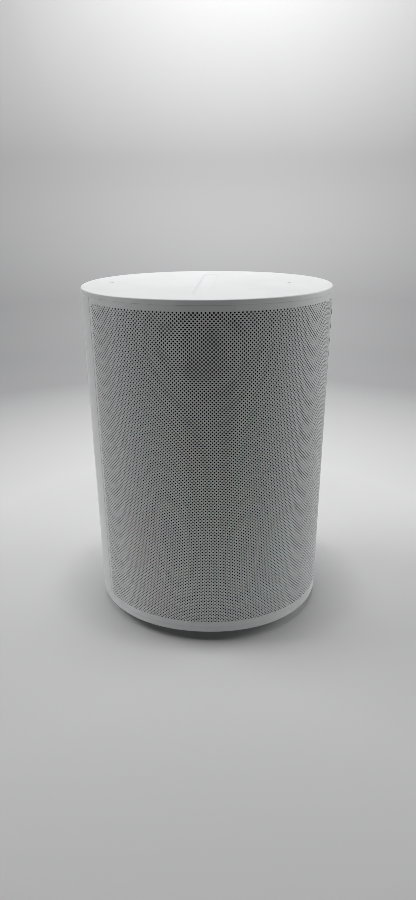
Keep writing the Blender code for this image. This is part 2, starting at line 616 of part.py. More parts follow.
def build_main_board():
    """The upright board behind the bass enclosure, with its shield and heat sink."""
    front, rear = MAIN_BOARD_Y, MAIN_BOARD_Y + BOARD
    low = (-MAIN_BOARD_HALF_WIDTH, front, MAIN_BOARD_LOW)
    block("main_board", low, (MAIN_BOARD_HALF_WIDTH, rear, MAIN_BOARD_HIGH), "circuit_board")
    low_y = rear + CLEARANCE
    low = (-SHIELD_HALF_WIDTH, low_y, SHIELD_LOW)
    high = (SHIELD_HALF_WIDTH, low_y + SHIELD_DEPTH, SHIELD_HIGH)
    soften(block("processor_shield", low, high, "bare_steel"), EDGE)
    base, tip = low_y + SINK_BASE, low_y + SINK_DEPTH
    pitch = (2 * SINK_HALF_WIDTH - FIN_THICKNESS) / (FIN_COUNT - 1)
    comb = [(-SINK_HALF_WIDTH, low_y), (SINK_HALF_WIDTH, low_y)]
    for i in range(FIN_COUNT):
        right = SINK_HALF_WIDTH - i * pitch
        comb += [(right, tip), (right - FIN_THICKNESS, tip)]
        if i < FIN_COUNT - 1:
            comb += [(right - FIN_THICKNESS, base), (right - pitch, base)]
    prism_up("heat_sink", comb, SINK_LOW, SINK_HIGH, "aluminium")


def build_supply_lead():
    """The lead from the power supply up to the main board, behind the bass enclosure."""
    start = SUPPLY_LOW + BOARD + CLEARANCE
    end = MAIN_BOARD_LOW - CLEARANCE
    knots = [
        (0.0340, start),
        (0.0352, 0.0280),
        (0.0405, 0.0400),
        (0.0425, 0.0550),
        (0.0412, 0.0700),
        (0.0408, end),
    ]
    data = bpy.data.curves.new("supply_lead", "CURVE")
    data.dimensions = "3D"
    data.bevel_depth = LEAD_RADIUS
    data.bevel_resolution = 2
    data.use_fill_caps = True
    route = smooth_route(knots, 3)
    spline = data.splines.new("POLY")
    spline.points.add(len(route) - 1)
    for point, (y, z) in zip(spline.points, route):
        point.co = (LEAD_X, y, z, 1.0)
    lead = bpy.data.objects.new("supply_lead", data)
    data.materials.append(make_material("supply_lead", "soft_rubber"))
    bpy.context.scene.collection.objects.link(lead)


def smooth_route(knots, between):
    """A Catmull-Rom curve through the knots."""
    padded = [knots[0]] + knots + [knots[-1]]
    route = [knots[0]]
    for a, b, c, d in zip(padded, padded[1:], padded[2:], padded[3:]):
        for i in range(1, between + 1):
            t = i / between
            weights = (
                -t + 2 * t**2 - t**3,
                2 - 5 * t**2 + 3 * t**3,
                t + 4 * t**2 - 3 * t**3,
                t**3 - t**2,
            )
            sums = [sum(w * knot[k] for w, knot in zip(weights, (a, b, c, d))) for k in (0, 1)]
            route.append((sums[0] / 2, sums[1] / 2))
    return route


def build_top_electronics():
    """The tray under the top cover, its touch board, two microphones and the antenna."""
    wall = CHASSIS_INSET + FRAME_WALL
    levels = [
        (CHASSIS_INSET, FRAME_LOW),
        (CHASSIS_INSET, FRAME_HIGH),
        (wall, FRAME_HIGH),
        (wall, FRAME_LOW + FRAME_WALL),
    ]
    oval_stack("upper_frame", levels, "dark_plastic", INNER_STEPS)
    levels = [(CHASSIS_INSET + CLEARANCE, TOUCH_LOW), (CHASSIS_INSET + CLEARANCE, TOUCH_HIGH)]
    oval_stack("touch_board", levels, "circuit_board", INNER_STEPS)
    top = TOUCH_LOW - CLEARANCE
    for side, y in (("front", FRONT_MICROPHONE_Y), ("rear", REAR_MICROPHONE_Y)):
        low = (-MICROPHONE_HALF_WIDTH, y - MICROPHONE_HALF_DEPTH, top - MICROPHONE_RISE)
        high = (MICROPHONE_HALF_WIDTH, y + MICROPHONE_HALF_DEPTH, top)
        block(side + "_microphone", low, high, "bare_steel")
    block("antenna_board", ANTENNA_FRONT, ANTENNA_REAR, "circuit_board")


def soften(piece, width, segments=2):
    modifier = piece.modifiers.new("soft_edges", "BEVEL")
    modifier.width = width
    modifier.segments = segments


# ------------------------------------------------------------------ enclosure and drivers
def build_enclosure():
    """The bass enclosure in two halves with a seal between. Returns the front half."""
    inner_inset = CHASSIS_INSET + ENCLOSURE_WALL
    inner_low, inner_high = ENCLOSURE_LOW + ENCLOSURE_WALL, ENCLOSURE_HIGH - ENCLOSURE_WALL
    wall, past = ENCLOSURE_WALL, 2 * ENCLOSURE_WALL
    spans = {
        "enclosure_front": (BAFFLE_Y, SEAL_FRONT_Y - CLEARANCE, wall, past, "dark_plastic"),
        "enclosure_seal": (SEAL_FRONT_Y, SEAL_REAR_Y, -past, past, "foam"),
        "enclosure_rear": (SEAL_REAR_Y + CLEARANCE, ENCLOSURE_REAR_Y, -past, -wall, "dark_plastic"),
    }
    pieces = {}
    for name, (front, rear, hollow_front, hollow_rear, finish) in spans.items():
        outer = clipped_oval(CHASSIS_INSET, front, rear, 6)
        pieces[name] = prism_up(name, outer, ENCLOSURE_LOW, ENCLOSURE_HIGH, finish)
        inner = clipped_oval(inner_inset, front + hollow_front, rear + hollow_rear, 6)
        cut(pieces[name], prism_up(name + "_hollow", inner, inner_low, inner_high, None))
    opening = circle(BAFFLE_OPENING, (0.0, WOOFER_Z), 2 * HOLE_STEPS)
    cutter = prism_back("woofer_opening", opening, BAFFLE_Y - EDGE, BAFFLE_Y + past, None)
    cut(pieces["enclosure_front"], cutter)
    return pieces["enclosure_front"]


def build_woofer(baffle):
    """The woofer, on its own axis: heights are in front of the baffle, so behind it they
    are negative. The coil hangs in the gap between the pole and the top plate."""
    axis = axis_frame("woofer_axis", (0.0, BAFFLE_Y, WOOFER_Z), (0.0, -1.0, 0.0))
    steps = 28
    gasket = turned("woofer_gasket", ring_profile(0.0377, 0.0434, 0.0003, 0.0013), "foam", steps, axis)
    basket = [
        (0.0434, 0.0032),
        (0.0351, 0.0032),
        (0.0351, 0.0013),
        (0.0238, -0.0227),
        (0.0140, -0.0227),
        (0.0140, -0.0245),
        (0.0255, -0.0245),
        (0.0368, 0.0016),
        (0.0434, 0.0016),
    ]
    frame = turned("woofer_frame", basket, "black_steel", steps, axis)
    low = (-HALF_WIDTH, -BASKET_WINDOW_HALF, BASKET_WINDOW_LOW)
    high = (HALF_WIDTH, BASKET_WINDOW_HALF, BASKET_WINDOW_HIGH)
    for i in range(3):
        window = block(f"basket_window_{i}", low, high, None, axis)
        window.rotation_euler.z = math.pi * i / 3
        cut(frame, window)
    roll_outer = arc((0.0325, 0.0040), 0.0031, 10, 170, 4)
    roll_inner = arc((0.0325, 0.0035), 0.0026, 170, 10, 4)
    surround = [
        (0.0384, 0.0035),
        (0.0384, 0.0041),
        *roll_outer,
        (0.0283, 0.0041),
        (0.0283, 0.0035),
        *roll_inner,
    ]
    turned("woofer_surround", surround, "soft_rubber", steps, axis)
    cone = [(0.0280, 0.0039), (0.0280, 0.0031), (0.0132, -0.0090), (0.0132, -0.0080)]
    turned("woofer_cone", cone, "paper", steps, axis)
    dust_cap = dome_profile(radius=0.0145, base=-0.0064, rise=0.0048, thickness=0.0008, steps=3)
    turned("woofer_dust_cap", dust_cap, "paper", steps, axis)
    coil = [
        (0.0123, -0.0274),
        (0.0137, -0.0274),
        (0.0137, -0.0200),
        (0.0129, -0.0200),
        (0.0129, -0.0074),
        (0.0123, -0.0074),
    ]
    turned("woofer_voice_coil", coil, "brass", steps, axis)
    turned("woofer_spider", spider_profile(), "cloth", steps, axis)
    turned("woofer_top_plate", ring_profile(0.0142, 0.0260, -0.0288, -0.0248), "bare_steel", steps, axis)
    turned("woofer_magnet", ring_profile(0.0160, 0.0310, -0.0391, -0.0291), "ferrite", steps, axis)
    yoke = [
        (0, -0.0250),
        (0.0116, -0.0250),
        (0.0116, -0.0394),
        (0.0300, -0.0394),
        (0.0300, -0.0434),
        (0, -0.0434),
    ]
    turned("woofer_back_plate", yoke, "bare_steel", steps, axis)
    screw = [
        (0, WOOFER_TIP),
        (WOOFER_SHAFT, WOOFER_TIP),
        (WOOFER_SHAFT, WOOFER_SEAT),
        (WOOFER_HEAD, WOOFER_SEAT),
        (WOOFER_HEAD, WOOFER_HEAD_TOP),
        (0, WOOFER_HEAD_TOP),
    ]
    for i in range(4):
        angle = math.radians(45 + 90 * i)
        spot = (WOOFER_SCREW_CIRCLE * math.cos(angle), WOOFER_SCREW_CIRCLE * math.sin(angle))
        turned(f"woofer_screw_{i + 1}", screw, "black_steel", SCREW_STEPS, axis, spot)
        way = circle(WOOFER_SHAFT + CLEARANCE, spot, SCREW_STEPS)
        bore = prism_up(f"woofer_bore_{i}", way, WOOFER_TIP - 4 * EDGE, WOOFER_HEAD_TOP, None, axis)
        for piece in (frame, gasket, baffle):
            cut(piece, bore)


def spider_profile():
    """A thin corrugated disc: crests and hollows from its inner to its outer edge."""
    count = 2 * SPIDER_RIPPLES
    upper, lower = [], []
    for i in range(count + 1):
        radius = SPIDER_INNER + (SPIDER_OUTER - SPIDER_INNER) * i / count
        height = SPIDER_LEVEL + (SPIDER_CREST if i % 2 else -SPIDER_CREST)
        upper.append((radius, height + SPIDER_HALF_THICKNESS))
        lower.append((radius, height - SPIDER_HALF_THICKNESS))
    return upper + lower[::-1]


def ring_profile(inner, outer, low, high):
    return [(outer, low), (outer, high), (inner, high), (inner, low)]


def dome_profile(radius, base, rise, thickness, steps):
    """A thin dome over its base height, from its edge up to the axis and back."""
    sphere = (radius**2 + rise**2) / (2 * rise)
    reach = math.degrees(math.asin(radius / sphere))
    centre = (0.0, base + rise - sphere)
    outer = arc(centre, sphere, 90 - reach, 90, steps)
    inner_reach = math.degrees(math.acos((base - centre[1]) / (sphere - thickness)))
    inner = arc(centre, sphere - thickness, 90, 90 - inner_reach, steps)
    outer[-1], inner[0] = (0.0, outer[-1][1]), (0.0, inner[0][1])
    return outer + inner


def bridge_outline(shrink):
    """The tweeter bridge from above: two angled cheeks that meet at a nose."""
    nose = BRIDGE_NOSE_Y + shrink / math.cos(TWEETER_ANGLE)
    side = BRIDGE_SIDE_X - shrink
    cheek = nose + side * math.tan(TWEETER_ANGLE)
    rear = (BRIDGE_REAR_HALF_WIDTH - shrink, ENCLOSURE_REAR_Y - shrink)
    right = [(side, cheek), (side, -BRIDGE_CHEEK_Y - shrink), rear]
    return [(0.0, nose)] + right + [(-x, y) for x, y in reversed(right)]


def build_tweeters():
    """Two dome tweeters, turned outwards, in a hollow bridge above the bass enclosure."""
    bridge = prism_up("tweeter_bridge", bridge_outline(0.0), BRIDGE_LOW, BRIDGE_HIGH, "dark_plastic")
    inner, inner_high = bridge_outline(ENCLOSURE_WALL), BRIDGE_HIGH - ENCLOSURE_WALL
    cut(bridge, prism_up("bridge_hollow", inner, BRIDGE_LOW - EDGE, inner_high, None))
    steps = 20
    frame = [
        (0.0150, 0.0003),
        (0.0150, 0.0022),
        (0.0112, 0.0012),
        (0.0102, 0.0012),
        (0.0102, -0.0020),
        (0.0129, -0.0020),
        (0.0129, 0.0003),
    ]
    motor = [
        (0, -0.0023),
        (0.0084, -0.0023),
        (0.0084, -0.0070),
        (0.0102, -0.0070),
        (0.0102, -0.0023),
        (0.0126, -0.0023),
        (0.0126, -0.0130),
        (0, -0.0130),
    ]
    skirt = [(0.0091, -0.0050), (0.0096, -0.0050)]
    dome = skirt + dome_profile(radius=0.0096, base=0.0002, rise=0.0032, thickness=0.0005, steps=3)
    for side, sign in (("left", -1), ("right", 1)):
        spot = (sign * BRIDGE_SIDE_X / 2, (BRIDGE_NOSE_Y + BRIDGE_CHEEK_Y) / 2, TWEETER_Z)
        outward = (sign * math.sin(TWEETER_ANGLE), -math.cos(TWEETER_ANGLE), 0.0)
        axis = axis_frame(side + "_tweeter_axis", spot, outward)
        way = circle(TWEETER_BORE, steps=steps)
        bore = prism_up(side + "_tweeter_bore", way, -3 * ENCLOSURE_WALL, 2 * ENCLOSURE_WALL, None, axis)
        cut(bridge, bore)
        turned(side + "_tweeter_frame", frame, "dark_plastic", steps, axis)
        turned(side + "_tweeter_magnet", motor, "bare_steel", steps, axis)
        turned(side + "_tweeter_dome", dome, "cloth", steps, axis)


def clear_scene():
    for leftover in list(bpy.data.objects):
        bpy.data.objects.remove(leftover)


def main():
    clear_scene()
    plinth = build_foot_and_plinth()
    bottom_cover = build_bottom_cover()
    chassis = build_lower_chassis()
    build_base_screws(plinth, bottom_cover, chassis)
    build_top_cover()
    build_sleeve_and_badge()
    build_rear_panel()
    build_rear_controls()
    build_io_board()
    build_power_inlet()
    build_power_supply()
    build_main_board()
    build_supply_lead()
    build_top_electronics()
    build_woofer(build_enclosure())
    build_tweeters()


main()
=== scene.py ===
"""The look of a compact oval smart speaker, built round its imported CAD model.

Metres, +Z up. The front faces -Y and the connectors face +Y.
"""

import math

import bmesh
import bpy
import numpy as np
from mathutils import Matrix, Vector
from mathutils.geometry import delaunay_2d_cdt


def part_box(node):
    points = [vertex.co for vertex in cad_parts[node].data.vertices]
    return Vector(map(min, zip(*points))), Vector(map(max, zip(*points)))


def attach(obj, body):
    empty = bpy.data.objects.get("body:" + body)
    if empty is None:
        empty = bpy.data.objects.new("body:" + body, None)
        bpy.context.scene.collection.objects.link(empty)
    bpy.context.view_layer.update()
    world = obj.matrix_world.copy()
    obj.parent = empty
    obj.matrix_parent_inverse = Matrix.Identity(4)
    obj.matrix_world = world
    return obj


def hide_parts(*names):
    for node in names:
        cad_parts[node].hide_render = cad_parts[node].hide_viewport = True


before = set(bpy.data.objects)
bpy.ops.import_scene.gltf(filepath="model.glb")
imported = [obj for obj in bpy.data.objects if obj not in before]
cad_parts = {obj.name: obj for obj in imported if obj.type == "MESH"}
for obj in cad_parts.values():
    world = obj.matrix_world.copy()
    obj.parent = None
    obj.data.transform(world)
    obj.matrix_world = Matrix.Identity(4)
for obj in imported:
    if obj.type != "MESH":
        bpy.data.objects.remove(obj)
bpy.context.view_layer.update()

# ------------------------------------------------------------------ the CAD model's own sizes
HALF_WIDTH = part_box("top_cover")[1].x
HALF_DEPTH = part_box("top_cover")[1].y
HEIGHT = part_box("top_cover")[1].z
OVALNESS = 2.1  # exponent of the outline: 2 is an ellipse, more is squarer
CLEARANCE = 0.0003  # between neighbouring nodes
SKIN = 0.0018  # thickness of the casing's walls
EDGE = 0.0005  # broken edges
RIM_ROUND = 0.0006  # rounded outer edges of both covers
LIP_HEIGHT, LIP_WALL = 0.0040, 0.0015  # locating lips of both covers, inside the sleeve
LIP_OUT, LIP_IN = SKIN + CLEARANCE, SKIN + CLEARANCE + LIP_WALL
SLEEVE_LOW, SLEEVE_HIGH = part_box("grille_sleeve")[0].z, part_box("grille_sleeve")[1].z
CAP_LOW = SLEEVE_HIGH + CLEARANCE
RIM_LOW, RIM_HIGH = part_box("bottom_cover")[0].z, SLEEVE_LOW - CLEARANCE
PANEL_HALF_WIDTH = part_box("rear_panel")[1].x
PARTING = 0.00001  # the gap that shows between a cover and the sleeve
SHEET_LOW, SHEET_HIGH = RIM_HIGH + PARTING, CAP_LOW - PARTING

OUTLINE_STEPS = 256
SOFT_STEPS = 5  # steps in a rounded edge
WELD = 1e-7  # points closer than this are one


# ------------------------------------------------------------------ outlines
def oval_points(inset, angles):
    """Points of the body's outline, moved in by inset. Angle 0 is +X and pi/2 is +Y."""
    power = 2 / OVALNESS
    c, s = np.cos(angles), np.sin(angles)
    x = (HALF_WIDTH - inset) * np.copysign(np.abs(c) ** power, c)
    y = (HALF_DEPTH - inset) * np.copysign(np.abs(s) ** power, s)
    return np.stack([x, y], axis=-1)


def oval(inset):
    """One loop of (x, y) points round the body."""
    return oval_points(inset, 2 * math.pi * np.arange(OUTLINE_STEPS) / OUTLINE_STEPS)


def side_angle(x):
    """The outline's angle where it passes x on the rear side."""
    return math.acos((x / HALF_WIDTH) ** (OVALNESS / 2))


def oval_half_depth(inset, x):
    """How far behind the middle the outline is at x."""
    share = abs(x / (HALF_WIDTH - inset)) ** OVALNESS
    return (HALF_DEPTH - inset) * (1 - share) ** (1 / OVALNESS)


def rounded_rectangle(half_u, half_v, radius, corner_steps, middle=(0.0, 0.0)):
    """A loop of (u, v) points, anticlockwise from +U."""
    points = []
    for quarter, (side_u, side_v) in enumerate([(1, 1), (-1, 1), (-1, -1), (1, -1)]):
        for i in range(corner_steps + 1):
            angle = (quarter + i / corner_steps) * math.pi / 2
            point_u = middle[0] + side_u * (half_u - radius) + radius * math.cos(angle)
            point_v = middle[1] + side_v * (half_v - radius) + radius * math.sin(angle)
            points.append((point_u, point_v))
    return points


def capsule(half_u, half_v, middle=(0.0, 0.0), corner_steps=10):
    return rounded_rectangle(half_u, half_v, half_v, corner_steps, middle)


def even_capsule(half_u, half_v, steps):
    """A capsule with evenly spaced points, the first of them at +U."""
    dense = np.array(capsule(half_u, half_v, corner_steps=40))
    dense = np.vstack([dense, dense[:1]])
    run = np.concatenate([[0], np.cumsum(np.linalg.norm(np.diff(dense, axis=0), axis=1))])
    at = run[-1] * np.arange(steps) / steps
    return np.stack([np.interp(at, run, dense[:, k]) for k in (0, 1)], axis=-1)


def circle(radius, middle=(0.0, 0.0), steps=32):
    angles = [2 * math.pi * i / steps for i in range(steps)]
    return [(middle[0] + radius * math.cos(a), middle[1] + radius * math.sin(a)) for a in angles]


def rounding(inset, height, radius, start, end):
    """(inset, height) pairs along a rounded edge about a centre, angles in degrees."""
    pairs = []
    for i in range(SOFT_STEPS + 1):
        angle = math.radians(start + (end - start) * i / SOFT_STEPS)
        pairs.append((inset - radius * math.cos(angle), height + radius * math.sin(angle)))
    return pairs


# ------------------------------------------------------------------ meshes
def add_object(name, data):
    made = bpy.data.objects.new(name, data)
    bpy.context.scene.collection.objects.link(made)
    return made


def loft(name, stations, closed=False):
    """One solid through equal loops of points. A closed run of loops meets itself."""
    vertices, faces, size = [], [], len(stations[0])
    for station in stations:
        vertices.extend(tuple(point) for point in station)
    count = len(stations)
    for k in range(count if closed else count - 1):
        first, second = k * size, (k + 1) % count * size
        for i in range(size):
            j = (i + 1) % size
            faces.append((first + i, first + j, second + j, second + i))
    if not closed:
        faces.append(tuple(reversed(range(size))))
        faces.append(tuple(range((count - 1) * size, count * size)))
    mesh = bpy.data.meshes.new(name)
    mesh.from_pydata(vertices, [], faces)
    mesh.validate()
    piece = add_object(name, mesh)
    tidy_mesh(piece)
    return piece


def tidy_mesh(piece):
    """Welds equal points and turns every face outwards."""
    mesh_tool = bmesh.new()
    mesh_tool.from_mesh(piece.data)
    bmesh.ops.remove_doubles(mesh_tool, verts=mesh_tool.verts, dist=WELD)
    bmesh.ops.recalc_face_normals(mesh_tool, faces=mesh_tool.faces)
    mesh_tool.to_mesh(piece.data)
    mesh_tool.free()


def prism_up(name, outline, low, high):
    return loft(name, [[(x, y, z) for x, y in outline] for z in (low, high)])


def prism_back(name, outline, front_y, rear_y):
    return loft(name, [[(x, y, z) for x, z in outline] for y in (front_y, rear_y)])


def block(name, low, high):
    corners = [(low[0], low[1]), (high[0], low[1]), (high[0], high[1]), (low[0], high[1])]
    return prism_up(name, corners, low[2], high[2])


def oval_loops(levels):
    """Loops that follow the body's outline: levels are (inset, height) pairs."""
    return [[(x, y, z) for x, y in oval(inset)] for inset, z in levels]


def curved_wall(name, start, end, outer, inner, low, high, steps, soft):
    """A length of wall that follows the outline, with softened outer edges."""
    stations = []
    turn = soft / HALF_DEPTH
    spots = np.concatenate([[start], np.linspace(start + turn, end - turn, steps), [end]])
    for k, angle in enumerate(spots):
        at_end = k in (0, len(spots) - 1)
        near = soft if at_end else 0.0
        section = [
            (outer + soft, low + near / 2),
            (outer + near, low + soft),
            (outer + near, high - soft),
            (outer + soft, high - near / 2),
            (inner, high - near / 2),
            (inner, low + near / 2),
        ]
        stations.append([(*oval_points(inset, angle), z) for inset, z in section])
    return loft(name, stations)


def turned_back(name, profile, middle, steps):
    """A profile of (radius, y) points, turned round an axis along Y at middle (x, z)."""
    stations = []
    for i in range(steps):
        angle = 2 * math.pi * i / steps
        c, s = math.cos(angle), math.sin(angle)
        stations.append([(middle[0] + r * c, y, middle[1] + r * s) for r, y in profile])
    return loft(name, stations, closed=True)


def combine(piece, tools, operation):
    """Joins tools to a piece or cuts them out of it, and removes them."""
    for tool in tools:
        modifier = piece.modifiers.new(tool.name, "BOOLEAN")
        modifier.operation = operation
        modifier.solver = "EXACT"
        modifier.object = tool
    apply_modifiers(piece)
    for tool in tools:
        bpy.data.objects.remove(tool)


def apply_modifiers(piece):
    """Makes what the modifiers show the piece's own mesh."""
    graph = bpy.context.evaluated_depsgraph_get()
    mesh = bpy.data.meshes.new_from_object(piece.evaluated_get(graph))
    piece.modifiers.clear()
    piece.data = mesh
    mesh.name = piece.name


def cut(piece, *tools):
    combine(piece, tools, "DIFFERENCE")


def join(piece, *tools):
    combine(piece, tools, "UNION")


def soften(piece, width):
    """Bevels the sharp edges only."""
    modifier = piece.modifiers.new("soft_edges", "BEVEL")
    modifier.width = width
    modifier.segments = 2
    modifier.limit_method = "ANGLE"
    modifier.angle_limit = math.radians(50)
    modifier.miter_outer = "MITER_ARC"
    apply_modifiers(piece)


def finish_piece(piece, material, body, nodes, smooth=35):
    """Shades, colours and places a piece, and hides the CAD nodes it stands for."""
    mesh = piece.data
    mesh.shade_smooth()
    mesh.set_sharp_from_angle(angle=math.radians(smooth))
    mesh.materials.clear()
    mesh.materials.append(material)
    modifier = piece.modifiers.new("flat_faces_stay_flat", "WEIGHTED_NORMAL")
    modifier.keep_sharp = True
    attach(piece, body)
    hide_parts(*nodes)


# ------------------------------------------------------------------ materials
class Surface:
    """A material whose colour, gloss and relief come from patterns over the piece."""

    def __init__(self, name, colour, roughness, metallic=0.0, **extra):
        self.material = bpy.data.materials.new(name)
        self.material.use_nodes = True
        self.tree = self.material.node_tree
        self.shader = self.tree.nodes["Principled BSDF"]
        self.colour, self.roughness, self.normal = colour, roughness, None
        self.shader.inputs["Base Color"].default_value = (*colour, 1.0)
        self.shader.inputs["Roughness"].default_value = roughness
        self.shader.inputs["Metallic"].default_value = metallic
        for socket, value in extra.items():
            self.shader.inputs[socket.replace("_", " ")].default_value = value
        self.place = self.tree.nodes.new("ShaderNodeTexCoord").outputs["Object"]

    def node(self, kind, links=None, **values):
        made = self.tree.nodes.new("ShaderNode" + kind)
        for socket, value in values.items():
            made.inputs[socket.replace("_", " ")].default_value = value
        for socket, source in (links or {}).items():
            self.tree.links.new(source, made.inputs[socket])
        return made

    def stretched(self, stretch):
        return self.node("Mapping", {"Vector": self.place}, Scale=stretch).outputs["Vector"]

    def noise(self, scale, detail=3.0, stretch=(1, 1, 1)):
        """Cloudy grain. Scale is how many grains there are to a metre."""
        place = self.stretched(stretch)
        return self.node("TexNoise", {"Vector": place}, Scale=scale, Detail=detail).outputs["Fac"]

    def cells(self, scale):
        return self.node("TexVoronoi", {"Vector": self.place}, Scale=scale).outputs["Distance"]

    def bands(self, scale, axis):
        made = self.node("TexWave", {"Vector": self.place}, Scale=scale)
        made.bands_direction = axis
        return made.outputs["Fac"]

    def weave(self, scale):
        """Threads along X and Z: the higher of the two shows."""
        made = self.tree.nodes.new("ShaderNodeMath")
        made.operation = "MAXIMUM"
        for socket, axis in zip(made.inputs, "XZ"):
            self.tree.links.new(self.bands(scale, axis), socket)
        return made.outputs[0]

    def span(self, pattern, low, high, start=0.0, end=1.0):
        made = self.node("MapRange", {"Value": pattern}, To_Min=low, To_Max=high)
        made.inputs["From Min"].default_value = start
        made.inputs["From Max"].default_value = end
        return made.outputs["Result"]

    def tint(self, pattern, other, start=0.0, end=1.0, share=1.0):
        """Turns the colour towards another one where the pattern is strong."""
        made = self.tree.nodes.new("ShaderNodeMix")
        made.data_type = "RGBA"
        base = self.shader.inputs["Base Color"]
        plain, turned = [socket for socket in made.inputs if socket.type == "RGBA"]
        plain.default_value = (*self.colour, 1.0)
        turned.default_value = (*other, 1.0)
        if base.is_linked:
            self.tree.links.new(base.links[0].from_socket, plain)
        factor = self.span(pattern, 0.0, share, start, end)
        self.tree.links.new(factor, made.inputs["Factor"])
        result = next(socket for socket in made.outputs if socket.type == "RGBA")
        self.tree.links.new(result, base)
        return self

    def gloss(self, pattern, spread, start=0.3, end=0.7):
        """Lets the roughness vary by spread either way."""
        result = self.span(pattern, self.roughness - spread, self.roughness + spread, start, end)
        self.tree.links.new(result, self.shader.inputs["Roughness"])
        return self

    def relief(self, pattern, depth):
        """Raises the surface by up to depth metres."""
        links = {"Height": pattern}
        if self.normal is not None:
            links["Normal"] = self.normal
        made = self.node("Bump", links, Strength=1.0, Distance=depth)
        self.normal = made.outputs["Normal"]
        self.tree.links.new(self.normal, self.shader.inputs["Normal"])
        return self


def scaled(colour, factor):
    """A darker or paler shade of a colour."""
    return tuple(min(1.0, c * factor) for c in colour)


def moulded(name, colour, roughness, grain, depth, **extra):
    """Injection-moulded plastic: a fine spark-eroded grain, and faint flow marks."""
    made = Surface(name, colour, roughness, **extra)
    fine, broad = made.noise(grain, 4.0), made.noise(28.0, 2.0)
    made.tint(broad, scaled(colour, 0.94), 0.35, 0.75)
    made.gloss(fine, 0.06)
    return made.relief(fine, depth).material


def painted(name, colour, roughness):
    """Powder-coated sheet: a slight orange peel over a very fine speckle."""
    made = Surface(name, colour, roughness)
    peel, speckle = made.noise(900.0, 2.0), made.noise(6000.0, 1.0)
    made.tint(speckle, scaled(colour, 0.93), 0.4, 0.8)
    made.gloss(peel, 0.05)
    return made.relief(peel, 0.000006).material


def cloth(name, colour, thread, depth):
    """Woven fabric: over and under threads, each a little different from the next."""
    made = Surface(name, colour, 0.92)
    weave, fibre = made.weave(thread), made.noise(thread * 2.0)
    made.tint(weave, scaled(colour, 1.9), 0.3, 1.0)
    made.tint(fibre, scaled(colour, 0.5), 0.4, 0.9, 0.6)
    return made.relief(weave, depth).relief(fibre, depth * 0.3).material


def metal(name, colour, roughness, stretch=(1, 1, 1), metallic=1.0):
    """Plated or brushed metal, with fine lines where the grain is stretched."""
    made = Surface(name, colour, roughness, metallic)
    lines, blotch = made.noise(1500.0, 4.0, stretch), made.noise(120.0)
    made.tint(blotch, scaled(colour, 0.78), 0.4, 0.8)
    made.gloss(lines, 0.09)
    return made.relief(lines, 0.000008).material


def circuit_board(name):
    """Solder mask over copper: paler tracks, pads, and a scatter of dark parts."""
    made = Surface(name, (0.015, 0.095, 0.045), 0.32, Coat_Weight=0.4)
    tracks = made.node("TexBrick", {"Vector": made.place}, Scale=90.0)
    tracks.inputs["Mortar Size"].default_value = 0.035
    tracks.offset, tracks.squash = 0.37, 1.6
    parts = made.cells(260.0)
    made.tint(tracks.outputs["Fac"], (0.03, 0.20, 0.09), 0.0, 1.0)
    made.tint(parts, (0.012, 0.012, 0.012), 0.26, 0.20)
    made.tint(parts, (0.62, 0.60, 0.55), 0.13, 0.10)
    made.gloss(made.noise(700.0), 0.06)
    return made.relief(parts, 0.00012).material


def wound(name, colour, thread):
    """Enamelled copper wire, laid turn beside turn, with painted shade in the grooves between the
    turns.
    """
    made = Surface(name, colour, 0.30, 0.9)
    turns = made.bands(thread, "Y")
    # Painted shade: darker colour in the grooves between turns, where the relief is lowest
    made.tint(turns, scaled(colour, 0.35), 0.55, 0.0)
    made.gloss(made.noise(800.0), 0.06)
    return made.relief(turns, 0.0001).material


def felted(name, colour, grain, depth, roughness=0.9):
    """Pressed pulp, cast ferrite or foam: a coarse body with pits in it, the pits darkened with
    painted shade.
    """
    made = Surface(name, colour, roughness)
    body, pits = made.noise(grain, 5.0), made.cells(grain * 1.4)
    made.tint(body, scaled(colour, 1.7), 0.3, 0.8)
    # Painted shade: darker colour in the pits, where the relief is lowest
    made.tint(pits, scaled(colour, 0.55), 0.35, 0.1)
    made.gloss(body, 0.05)
    return made.relief(body, depth).relief(pits, depth * 0.6).material


